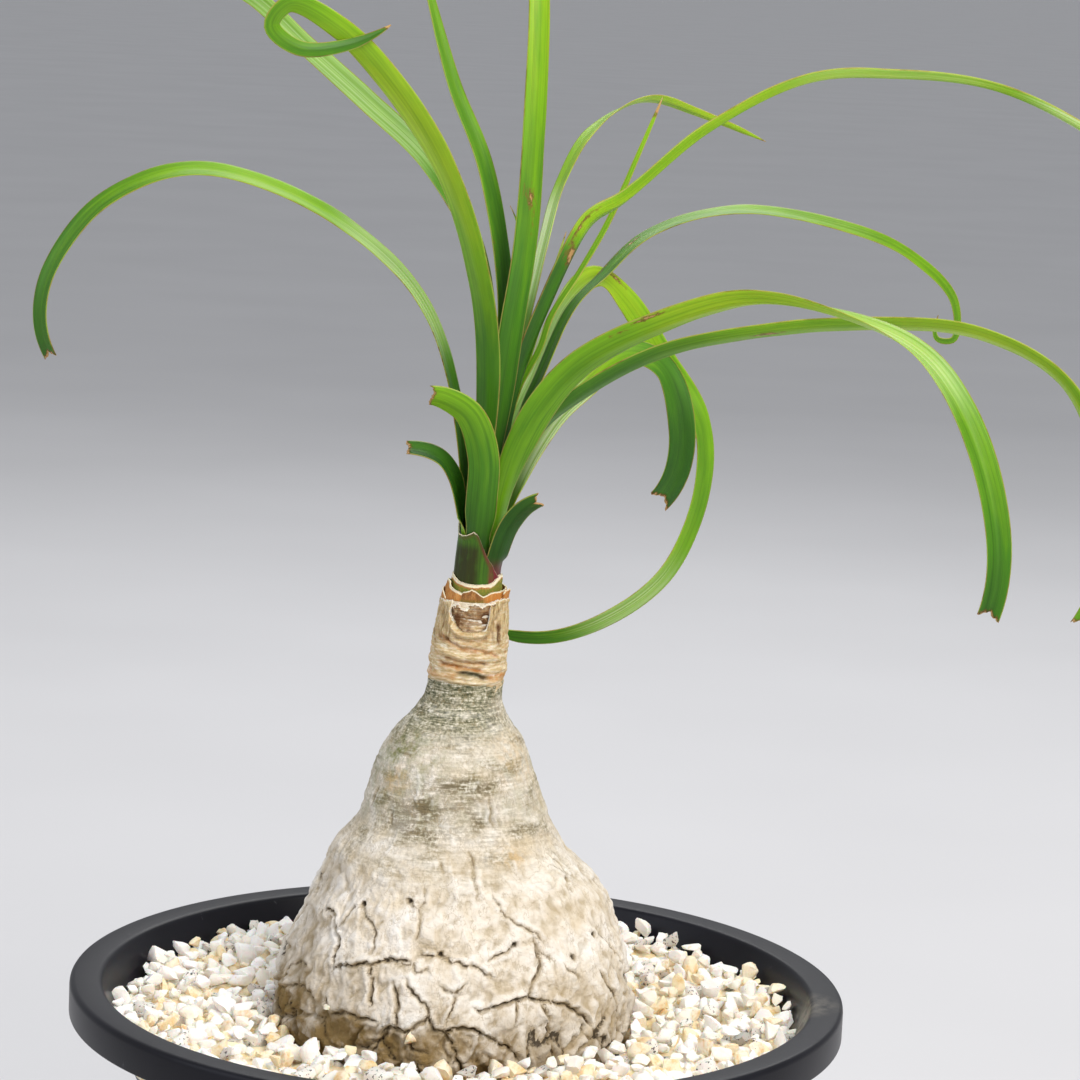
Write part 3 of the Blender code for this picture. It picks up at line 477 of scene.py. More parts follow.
def makeBlade(name, plan, material, draw, node=None):
    azimuth, z = plan["seat"]
    angle = math.radians(azimuth)
    radius = lookUp(crownShape["outline"], z) + bladeShape["seatGap"] + bladeShape["cadThick"] / 2
    seat = (crownX(z) + radius * math.cos(angle), radius * math.sin(angle), z)
    route = (seat, *plan["route"])
    length = runAlong(curveThrough(route, 400))[-1]
    stations = max(30, int(length / bladeShape["spacing"]))
    centre = curveThrough(route, stations)
    tangents, sides, ups, run = bladeFrames(centre, azimuth, plan["turns"])
    share = run / length

    opening = smoothStep(0, 0.16, share)
    closing = np.clip((share - 0.55) / 0.45, 0, 1) ** 1.6
    width = plan["base"] + (plan["width"] - plan["base"]) * opening + (plan["tip"] - plan["width"]) * closing
    if not plan["notch"]:   # a whole tip runs out to a point
        width = width * np.sqrt(np.clip((length - run) / 9, 0.02, 1))
    seatFold = plan["base"] / 4 / (radius + 0.01)
    fold = (seatFold + (plan["fold"] - seatFold) * np.clip(share / 0.2, 0, 1)) * width / 2

    v = np.linspace(-1, 1, bladeShape["across"])
    bow = (np.sqrt(v**2 + 0.03) - math.sqrt(0.03)) / (math.sqrt(1.03) - math.sqrt(0.03))
    thick = bladeShape["edgeThick"] + (bladeShape["thick"] - bladeShape["edgeThick"]) * (1 - v**2)
    seed = draw.random() * 50
    ripple = np.array([[noise.noise(Vector((s / 13, 3 * side, seed))) for side in (-1, 1)] for s in run])
    ripple *= bladeShape["wave"] * smoothStep(0.02, 0.2, share)[:, None] * (width / 7)[:, None]
    lift = fold[:, None] * bow + np.where(v < 0, ripple[:, :1], ripple[:, 1:]) * v**2

    # cut tips end in small teeth, each line of the blade running to its own end
    shorten = np.zeros((stations, len(v)))
    if plan["notch"]:
        teeth = plan["notch"] * (1 - np.abs(v)) + np.array([draw.uniform(0, 0.9) for _ in v])
        shorten = smoothStep(length - 7, length, run)[:, None] * teeth
    middle = centre[:, None] - tangents[:, None] * shorten[..., None]
    flat = middle + sides[:, None] * (v * width[:, None] / 2)[..., None] + ups[:, None] * lift[..., None]
    half = ups[:, None] * (thick / 2)[None, :, None] * np.clip(width / 2, 0.35, 1)[:, None, None]

    # the foot wraps the crown below the seat and sinks into it
    steps = bladeShape["footRows"]
    down = np.linspace(1, 0, steps, endpoint=False)
    below = down * bladeShape["footDrop"]
    wrapRadius = radius - plan["sink"] * down
    footWidth = plan["base"] + (plan["clasp"] - plan["base"]) * down
    wrap = angle + v[None] * footWidth[:, None] / 2 / radius
    footZ = (z - below)[:, None]
    ways = stacked(np.cos(wrap), np.sin(wrap), 0)
    foot = stacked(crownX(footZ), 0 * wrap, footZ) + ways * wrapRadius[:, None, None]
    toBlade = flat[0] - (2 * foot[-1] - foot[-2])   # what joins the foot to the blade's first row
    foot = foot + toBlade * (1 - down[:, None, None]) ** 2
    flat, half = np.concatenate([foot, flat]), np.concatenate([-ways * (thick / 2)[:, None], half])
    run = np.concatenate([-below, run])
    width = np.concatenate([footWidth, width])
    shorten = np.concatenate([np.zeros((steps, len(v))), shorten])
    rows = stations + steps

    loop = np.concatenate([flat + half, (flat - half)[:, ::-1]], axis=1)
    columns = loop.shape[1]
    faces = [face[::-1] for face in gridFaces(rows, columns, wrapColumns=True).tolist()]
    last = (rows - 1) * columns
    for k in range(len(v) - 1):
        a, b, c, d = k, k + 1, columns - 2 - k, columns - 1 - k
        faces += [(a, b, c, d), (last + d, last + c, last + b, last + a)]

    across = np.concatenate([v, v[::-1]])
    order = list(range(len(v))) + list(range(len(v)))[::-1]
    along = run[:, None] - shorten[:, order]
    dry = np.zeros((rows, columns))
    if plan["dryTip"]:
        dry += 0.62 * (1 - smoothStep(0.4 * plan["dryTip"], 1.3 * plan["dryTip"], length - run))[:, None]
    acrossMm = across[None] * width[:, None] / 2
    for place, sideways, size, broad, strength in plan["scars"]:
        reach = ((run - place * length) / (size / 2))[:, None] ** 2
        reach = reach + ((acrossMm - sideways * width[:, None] / 2) / (broad / 2)) ** 2
        dry += 0.6 * strength * np.exp(-reach)
    # the ages give the leaf's own age and painted shade where the blade lies in shade
    ageAndShade = lookUp(plan["agesAndShade"], run / length)[:, None] + plan["under"] * (np.arange(columns) >= len(v))
    # pale stretches: partly pale tissue, partly a painted sheen on glossy bends
    pale = 0 * along
    for start, end, strength in plan["pale"]:
        pale = pale + (strength * belt(start, 0.08, end, 0.08, run / length))[:, None]
    layers = {
        "bladePlace": stacked(acrossMm, along, seed),
        "bladeLook": stacked(ageAndShade, dry, pale),
        "bladeEdge": (1 - np.abs(across)) * width[:, None] / 2,
        "bladeRed": smoothStep(bladeShape["redFrom"], bladeShape["redFull"], loop[..., 2])
                    * (run < bladeShape["redWithin"])[:, None],
    }
    pieceName = name.replace("leaf", "blade").replace("stub", "cut_stub")
    meshPiece(pieceName, loop, faces, material, (node or name,), layers)


leafSkin = bladeMaterial()
leafDraw = random.Random(4)
for name, plan in leafPlans.items():
    makeBlade(name, plan, leafSkin, leafDraw)
makeBlade("dead_stump", deadStump, leafSkin, leafDraw, "crown_bundle")
print("blades", len(leafPlans))


# Crown bundle and the torn sheath round its front
sheathShape = {
    # degrees round the crown and height of the torn top, from the horn at the left down to the right
    "edge": ((160, 255.0), (164, 257.4), (168, 257.0), (174, 256.2), (181, 255.1), (190, 254.1), (200, 253.7),
             (215, 253.6), (232, 253.8), (240, 254.3), (250, 254.9), (257, 254.5), (263, 253.7), (270, 252.2),
             (277, 250.5), (284, 249.0), (290, 247.8), (302, 246.1), (309, 244.8), (320, 243.3), (340, 241.2),
             (352, 240.0)),
    "foot": 237.0,
    "radius": (6.4, 6.25),   # outside, at the foot and at the top
    "flare": 0.35,
    "thick": 0.42,
    "around": 120,
    "up": 34,
}


def sheathMaterial():
    # The same leaf tissue where it clasps the neck: deeper green, olive brown in front, with a wine-red
    # flush at its right foot and a dry cream edge where it tore.
    material, tree, shader = newMaterial("claspingSheath", Roughness=0.5, IOR=1.45, Specular_IOR_Level=0.3,
                                         Subsurface_Weight=0.05, Subsurface_Scale=0.001)
    place = layerVector(tree, "bladePlace")
    red, brown, torn = layerParts(tree, "sheathTint")
    noises = speckles(tree, place, {"veins": (1, 3, (2.2, 0.05, 1)), "blot": (2.6, 3, (1, 0.5, 1))})
    green = colourRamp(tree, noises["veins"], (0.3, "2F4F0C"), (0.5, "3A6111"), (0.72, "4B7519"))
    colour = layColours(tree, green, (
        ((brown, noises["blot"]), 0.0, 0.45, 0.9, "2D2B0A"),
        ((red, noises["blot"]), 0.15, 0.5, 1.0, "6E2228"),
        (torn, 0.3, 0.7, 1.0, "EBDDBE")))
    plugIn(tree, shader, colour, noises["veins"], 0.3, 0.0002)
    return material


def makeSheath(material):
    sheath = sheathShape
    degrees = np.linspace(sheath["edge"][0][0], sheath["edge"][-1][0], sheath["around"])
    tops = lookUp(sheath["edge"], degrees)
    tops += 0.12 * np.array([noise.noise(Vector((d / 6, 0, 0))) for d in degrees])
    angle, share = np.meshgrid(np.radians(degrees), np.linspace(0, 1, sheath["up"]), indexing="ij")
    z = sheath["foot"] + (tops[:, None] - sheath["foot"]) * share
    below = tops[:, None] - z
    low, high = sheath["radius"]
    outside = low + (high - low) * share + sheath["flare"] * smoothStep(2.2, 0, below)
    outside += 0.05 * np.sin(angle * 17) + 0.12 * np.sin(angle * 3 + z / 5)
    thick = sheath["thick"] * (1 - 0.4 * smoothStep(3, 0, below))
    turn = np.degrees(angle)
    slant = smoothStep(252, 262, turn)
    red = 0.75 * slant * smoothStep(2.4, 0.6, below)
    red += 1.2 * belt(290, 14, 362, 8, turn) * smoothStep(248, 243.5, z)
    red += 0.6 * (1 - slant) * np.exp(-((below - 0.75) / 0.3) ** 2)
    brown = belt(176, 16, 280, 22, turn) * belt(236, 1, 252.5, 3, z) + 0.5 * smoothStep(239, 237, z)
    torn = smoothStep(0.5, 0.1, below) * (1 - 0.55 * slant)
    both = np.stack([outside, outside - thick])
    layers = {"bladePlace": stacked(both * angle, z, 3), "sheathTint": stacked(red, brown, torn)}
    wrapSheet("torn_sheath", material, "sheath_lowest", crownX(z), angle, z, outside, thick,
              layers)


def makeCrown(material):
    # leaf bases wrapped round each other
    turns = np.linspace(0, 2 * math.pi, crownShape["sides"], endpoint=False)
    foot, top = crownShape["outline"][0][0], crownShape["outline"][-1][0]
    z = np.linspace(foot, top, crownShape["rings"])[:, None]
    wrap = (turns / (2 * math.pi) * crownShape["bases"] + z * crownShape["twist"]) % 1.0
    radius = lookUp(crownShape["outline"], z) * (1 - crownShape["step"] * (1 - wrap))
    red = smoothStep(246, 241, z) * belt(280, 15, 355, 15, np.degrees(turns))
    layers = {"bladePlace": stacked(turns * 5, z, 0), "sheathTint": stacked(red, 0.35, 0)}
    points = stacked(crownX(z) + radius * np.cos(turns), radius * np.sin(turns), z)
    faces = tubeFaces(len(z), len(turns))
    meshPiece("leaf_bases", points, faces, material, ("crown_bundle",), layers)


sheathSkin = sheathMaterial()
makeSheath(sheathSkin)
makeCrown(sheathSkin)
print("crown")


# Swollen stem
stemShape = {
    "columns": ((190, 350, 0.5), (350, 550, 1.25)),   # degrees round, fine at the front
    "rows": ((-29, -12, 2.0), (-12, 46, 0.5), (46, 84, 0.62), (84, 106.2, 1.4)),   # over the rim
    "axis": ((-34, 0.0), (-4, -1.6), (19, -0.4), (38, -4.0), (60, -3.6), (79, -2.0), (84, -1.2), (106, 0.4)),
    "neck": ((77.5, 10.9), (79, 10.65), (81, 10.35), (84, 10.2), (85, 9.4), (87, 8.8)),   # radius by height
    "footForward": 4.0,        # the foot stands this far nearer the front than the neck
    "forwardHeights": (-4.0, 30.0),
    "rootsBelow": -27.0,
    "plates": ((9.5, 1.5), (15.0, 0.9)),   # size and crack depth: blocks at the foot, plates above them
    "hairlines": 110,
    "crackedHeights": (-14, 62),
    "crackedTurns": (185, 354),
}

# Cracks that the front shows: width, depth and how far the upper lip stands out, then the route as
# (degrees round the stem, 270 at the front; height over the rim)
stemCracks = {
    "peelLeft": (0.8, 2.0, 0.5, ((210, 24), (214, 25), (219, 24), (220, 21), (224, 19), (225, 16),
                                 (225, 13))),
    "peelBranch": (0.5, 1.1, 0.0, ((232, 28), (227, 27), (224, 23), (222, 22))),
    "starDown": (0.6, 1.4, 0.0, ((232, 28), (235, 26), (239, 24), (240, 22), (240, 19), (239, 18))),
    "pitDown": (0.5, 1.0, 0.0, ((253, 31), (257, 29), (257, 26), (257, 23), (255, 22))),
    "shelfLeft": (0.7, 2.2, 0.9, ((224, 12), (228, 13), (233, 14), (239, 16), (241, 15), (245, 17), (250, 17),
                                  (254, 18))),
    "shelfMiddle": (0.6, 1.6, 0.8, ((256, 19), (260, 19), (264, 19), (268, 18), (274, 17), (279, 16),
                                    (283, 14))),
    "recess": (1.2, 2.4, 0.0, ((241, 15), (242, 11), (243, 8), (244, 5))),
    "loop": (0.5, 1.1, 0.3, ((251, 16), (255, 17), (257, 15), (260, 16), (262, 15))),
    "slant": (0.7, 1.6, 0.3, ((254, 13), (257, 10), (262, 7), (263, 4), (265, 3))),
    "vee": (0.6, 1.3, 0.0, ((265, 12), (270, 10), (273, 12), (274, 13))),
    "veeDown": (0.8, 1.8, 0.0, ((270, 10), (271, 8), (269, 6), (269, 3))),
    "slit": (0.8, 1.9, 0.5, ((292, 22), (289, 20), (285, 19), (282, 18))),
    "longUpper": (0.6, 1.3, 0.2, ((289, 33), (290, 30), (292, 28), (296, 26), (301, 24), (303, 22))),
    "longLower": (0.6, 1.6, 0.0, ((300, 23), (300, 20), (301, 16), (298, 12), (297, 8))),
    "hook": (0.6, 1.2, 0.3, ((300, 20), (303, 18), (306, 17))),
    "dash": (0.6, 1.3, 0.2, ((309, 16), (312, 14), (316, 12))),
    "shelfRight": (0.9, 2.8, 1.2, ((278, 6), (282, 6), (288, 7), (292, 8), (297, 8), (303, 7), (309, 6),
                                   (314, 4), (319, 1), (321, -1))),
    "rightDown": (0.8, 1.8, 0.0, ((292, 8), (292, 4), (291, 1))),
    "rightDeep": (1.1, 2.6, 0.0, ((301, 6), (304, 3), (304, -3), (307, -8))),
    "lowLeft": (0.8, 2.4, 0.6, ((229, 1), (236, 3), (240, 2), (246, 2))),
    "lowMiddle": (0.9, 2.6, 0.9, ((248, -1), (251, 1), (256, 0), (263, 4), (265, 1), (268, 1), (274, 2),
                                  (278, 1), (285, -2), (290, -4), (293, -7))),
    "between": (1.0, 2.0, 0.0, ((250, 12), (252, 8), (253, 2))),
    "footLeft": (1.0, 2.6, 0.0, ((250, 0), (246, -5), (244, -8))),
    "footFront": (1.0, 2.6, 0.0, ((268, 1), (272, -4), (274, -10))),
    "footShort": (0.8, 2.0, 0.0, ((256, 0), (258, -4), (263, -5))),
    "leftArc": (0.6, 1.5, 0.6, ((197, 1), (206, 4), (214, 5), (220, 3))),
    "leftArcUpper": (0.6, 1.3, 0.4, ((199, 4), (199, 7), (205, 10), (212, 10))),
    "leftLow": (0.9, 2.2, 0.0, ((211, 0), (205, -6))),
    "flankLow": (0.7, 1.6, 0.3, ((325, 13), (329, 9), (334, 4), (337, 0))),
    "flankHigh": (0.6, 1.2, 0.0, ((330, 21), (336, 17), (344, 11))),
    "topMiddle": (0.5, 1.0, 0.0, ((282, 40), (283, 36), (281, 32))),
    "topLeft": (0.5, 0.9, 0.0, ((259, 35), (260, 32), (257, 29))),
    "topRight": (0.5, 1.1, 0.0, ((328, 38), (332, 36), (329, 34))),
    "waistShort": (0.5, 1.0, 0.0, ((296, 56), (296, 53), (297, 49))),
    "waistLong": (0.5, 0.9, 0.0, ((281, 43), (284, 40), (282, 36), (282, 33))),
    "waistLeft": (0.5, 0.8, 0.0, ((265, 42), (268, 38))),
    "leftEdge": (0.8, 1.4, 0.0, ((210, 56), (207, 51))),
    "leftDark": (0.6, 0.9, 0.0, ((229, 51), (232, 48))),
    "dots": (0.5, 0.9, 0.0, ((331, 40), (335, 37), (334, 35), (329, 34))),
    "stoneHoleLeft": (1.6, 2.8, 0.0, ((225, 4.5), (227, 2.5), (227, 0))),
    "stoneHoleFront": (1.3, 2.4, 0.0, ((257, 0.5), (258, -1.5), (259, -3))),
}
stemPits = ((232, 28.3), (253, 30.9), (228, 12.8), (246, 16.7), (264, 19.1), (292, 21.6), (314, 17.1),
            (327, 21.2), (329.5, 34.3))   # small holes with cracks running out like a star's rays
stemVeins = (((245, 61), (247, 56), (249, 50)), ((254, 64), (255, 60), (257, 56), (257, 52)),
             ((272, 46), (273, 40), (272, 33)), ((238, 46), (236, 38), (233, 30)),
             ((304, 45), (306, 38), (310, 30)), ((288, 64), (287, 58), (289, 52)))   # pale raised cords


# Stains on the bark: how strong, then the windows of height and degrees that belt takes
stemAround = (-1, 0.5, 999, 1)
stemStains = {
    "olive": ((0.3, (44, 8, 70, 6), stemAround),),
    # slate rows: grey-green streaks on the neck; the second row, just under the sleeve, is also the sleeve's
    # painted shadow
    "slateAndShadow": ((0.5, (66, 9, 90, 2), stemAround), (0.7, (79.5, 2.5, 90, 2), stemAround)),
    # dirt rows: dirt and painted shade darken the foot, and painted shade darkens the left flank, which turns
    # away from the light
    "dirtAndShade": ((0.85, (-99, 1, 11, 17), stemAround), (0.3, (-99, 1, 11, 17), (196, 10, 300, 20)),
             (0.5, (-99, 1, 24, 22), (190, 5, 258, 30)), (0.6, (-99, 1, 52, 28), (188, 4, 222, 16)),
             (0.4, (-99, 1, 6, 9), (218, 10, 300, 24))),
    "shade": ((0.7, (56.5, 2.5, 63, 3), (240, 14, 326, 20)), (0.75, (45, 3, 56, 3), (222, 9, 268, 20)),
              (0.45, (43, 4, 64, 6), (210, 14, 320, 24)), (0.15, (40, 5, 70, 6), stemAround)),
    "ochre": ((0.5, (56, 6, 74, 6), (300, 14, 352, 10)),),
}
# round stains: how strong, then degrees and half width, height and half height
stemBlots = (("olive", (1.0, 222, 20, 68, 6)), ("ochre", (1.0, 305, 9, 41, 2.5)),
             ("ochre", (0.9, 226, 12, 59, 4)))


def blurred(field, rowSigma, columnSigma):
    # a smooth copy of a grid whose columns run round and close on themselves
    for axis, sigma in ((0, rowSigma), (1, columnSigma)):
        reach = max(1, int(3 * sigma))
        taps = np.exp(-0.5 * (np.arange(-reach, reach + 1) / sigma) ** 2)
        if axis:
            padded = np.concatenate([field[:, -reach:], field, field[:, :reach]], axis=1)
        else:
            padded = np.concatenate([np.repeat(field[:1], reach, 0), field, np.repeat(field[-1:], reach, 0)])
        span = field.shape[axis]
        taps /= taps.sum()
        field = sum(tap * np.take(padded, range(k, k + span), axis=axis) for k, tap in enumerate(taps))
    return field


def nodeTree(name):
    # the CAD node as a tree that rays can hit, in millimetres
    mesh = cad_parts[name].data
    points = [vertex.co / mm for vertex in mesh.vertices]
    return BVHTree.FromPolygons(points, [tuple(face.vertices) for face in mesh.polygons])


def stemAxis(heights):
    low, high = stemShape["forwardHeights"]
    x = lookUp(stemShape["axis"], heights)
    y = -stemShape["footForward"] * np.clip((high - heights) / (high - low), 0, 1)
    return x, y


def stemGrid():
    # the stem's surface as a grid of distances from its axis, before cracks are cut
    heights = np.concatenate([np.arange(*row) for row in stemShape["rows"]] + [[stemShape["rows"][-1][1]]])
    degrees = np.concatenate([np.arange(*column) for column in stemShape["columns"]])
    tree = nodeTree("swollen_stem")
    even = np.arange(0, 360, 1.0)
    ways = [Vector((math.cos(math.radians(d)), math.sin(math.radians(d)), 0)) for d in even]
    reach = np.array([[tree.ray_cast(Vector((x, y, rimHeight + height)), way)[3] for way in ways]
                      for x, y, height in zip(*stemAxis(heights), heights)])
    smooth = blurred(reach, 3.5, 3.5)
    reach = np.array([np.interp(degrees, even, row, period=360) for row in smooth])
    neck = lookUp(stemShape["neck"], heights)[:, None]
    reach = np.where(heights[:, None] > 77, np.maximum(reach, neck), reach)
    reach = np.where(heights[:, None] > 79, neck, reach)
    return {"heights": heights, "turns": np.radians(degrees), "reach": reach}


def stemSpots(skin, reach):
    heights = skin["heights"][:, None]
    x, y = stemAxis(heights)
    return stacked(x + reach * np.cos(skin["turns"]), y + reach * np.sin(skin["turns"]), rimHeight + heights)


def stemReachAt(skin, degrees, height):
    row = min(np.searchsorted(skin["heights"], height), len(skin["heights"]) - 1)
    first = stemShape["columns"][0][0]
    column = np.searchsorted(skin["turns"], math.radians((degrees - first) % 360 + first))
    return skin["reach"][row, min(column, len(skin["turns"]) - 1)]


def stemSpotAt(skin, degrees, height):
    x, y = stemAxis(height)
    reach = stemReachAt(skin, degrees, height)
    angle = math.radians(degrees)
    return np.array([x + reach * math.cos(angle), y + reach * math.sin(angle), rimHeight + height])


def crackSamples(skin, draw):
    # points every 0.4 mm along each crack: place, direction on the surface, width, depth and lip
    samples = []
    routes = list(stemCracks.values())   # width, depth, lip and route
    for degrees, height in stemPits:
        for ray in range(5):
            turn = ray * 72 + draw.uniform(-20, 20)
            far = draw.uniform(1.6, 4.2)
            across = math.degrees(far * math.cos(math.radians(turn)) / stemReachAt(skin, degrees, height))
            up = far * math.sin(math.radians(turn))
            bend = (degrees + across * 0.6 + 0.3, height + up * 0.5)
            routes.append((0.3, 0.35, 0.0, ((degrees, height), bend, (degrees + across, height + up))))
    for _ in range(stemShape["hairlines"]):   # more of them low down
        degrees, height = draw.uniform(192, 350), 40 * draw.random() ** 1.5 - 6
        heading, far = draw.uniform(0, 2 * math.pi), draw.uniform(2.5, 8)
        radius = stemReachAt(skin, degrees, height)
        route = [(degrees, height)]
        for _ in range(4):
            heading += draw.gauss(0, 0.55)
            degrees += math.degrees(far / 4 * math.cos(heading) / radius)
            height += far / 4 * math.sin(heading) * 0.8
            route.append((degrees, height))
        routes.append((0.2, 0.28, 0.0, tuple(route)))
    for width, depth, lip, route in routes:
        route = np.array(route, float)
        radius = stemReachAt(skin, *route[0])
        flat = route * (math.radians(1) * radius, 1)
        at = runAlong(flat)
        want = np.arange(0, at[-1], 0.4)
        arc, height = np.interp(want, at, flat[:, 0]), np.interp(want, at, flat[:, 1])
        wander = 0.6 * np.array([noise.noise_vector(Vector((w / 1.6, radius, lip * 9 + at[-1])))
                                 for w in want])
        arc, height = arc + wander[:, 0], height + wander[:, 1]
        for k, (a, h) in enumerate(zip(arc, height)):
            j = min(k + 1, len(arc) - 1)
            i = max(j - 2, 0)
            way = np.array((arc[j] - arc[i], height[j] - height[i]))
            way /= np.linalg.norm(way) + 1e-9
            taper = min(1.0, 0.35 + min(want[k], at[-1] - want[k]) / 2.5)
            samples.append((stemSpotAt(skin, math.degrees(a / radius), h), a / radius, h, way,
                            width * (0.6 + 0.4 * taper), depth * taper, lip * taper))
    return samples


def cutCracks(skin, spots, samples):
    # how far each point of the skin moves out, and for the dark line in each crack: how far to its
    # left or right the point lies, how far from the crack, and how strong the line is
    tree = KDTree(len(samples))
    for k, sample in enumerate(samples):
        tree.insert(Vector(sample[0]), k)
    tree.balance()
    push = np.zeros(spots.shape[:2])
    line = np.full(spots.shape, (9.0, 9.0, 0.0))
    (lowest, highest), (first, last) = stemShape["crackedHeights"], stemShape["crackedTurns"]
    for i, height in enumerate(skin["heights"]):
        if not lowest < height < highest:
            continue
        for j, turn in enumerate(skin["turns"]):
            if not first < math.degrees(turn) < last:
                continue
            _, k, far = tree.find(Vector(spots[i, j]))
            if far > 7:
                continue
            _, sampleTurn, sampleHeight, way, width, depth, lip = samples[k]
            side = way[0] * (height - sampleHeight) - way[1] * (turn - sampleTurn) * skin["reach"][i, j]
            above = math.copysign(1, side * (way[0] or 1))
            wide = max(0.42, width * 0.62)   # the mesh is no finer than this
            groove = math.exp(-(far / wide) ** 2)
            rise = 0.3 * depth * math.exp(-((far - 1.2) / 0.7) ** 2)
            raised = 0.75 * lip * above * (1 - groove) * math.exp(-far / 2.6)
            push[i, j] = rise - 0.5 * depth * groove + raised
            line[i, j] = (side, far, min(1.0, depth / 1.9))
    return push, line


def cellHash(spot, salt):
    return (math.sin(spot[0] * 12.9 + spot[1] * 78.2 + spot[2] * 37.7 + salt) * 43758.5) % 1.0


def corkPlates(spots, size, depth, salt):
    # bark split into plates like dried mud: each is tilted and stands a little higher or lower; also
    # how far each point lies from its plate's edge, some edges staying pale
    push, edges = np.zeros(len(spots)), np.zeros(len(spots))
    for k, spot in enumerate(spots):
        place = Vector(spot)
        broad, fine = noise.noise_vector(place / 5.5 + Vector((salt, 0, 0))), noise.noise_vector(place / 1.4)
        place = (place + broad * 2.4 + fine * 0.6 + Vector((salt * 9, 0, 0))) / size
        (near, far, _, _), (cell, *_) = noise.voronoi(place)
        gap = (far - near) * size / 2
        lean = Vector([cellHash(cell, number) - 0.5 for number in (1, 2, 3)])
        width = 0.35 + 0.35 * cellHash(cell, 4)
        groove = math.exp(-(gap / width) ** 2)
        push[k] = (depth * (0.8 * (cellHash(cell, 5) - 0.5) + 1.3 * lean.dot(place - cell)) * (1 - groove)
                   + 0.25 * depth * math.exp(-((gap - 1.0) / 0.6) ** 2) - 0.75 * depth * groove)
        edges[k] = gap + 0.9 * cellHash(cell, 6) - 0.12
    return push, edges


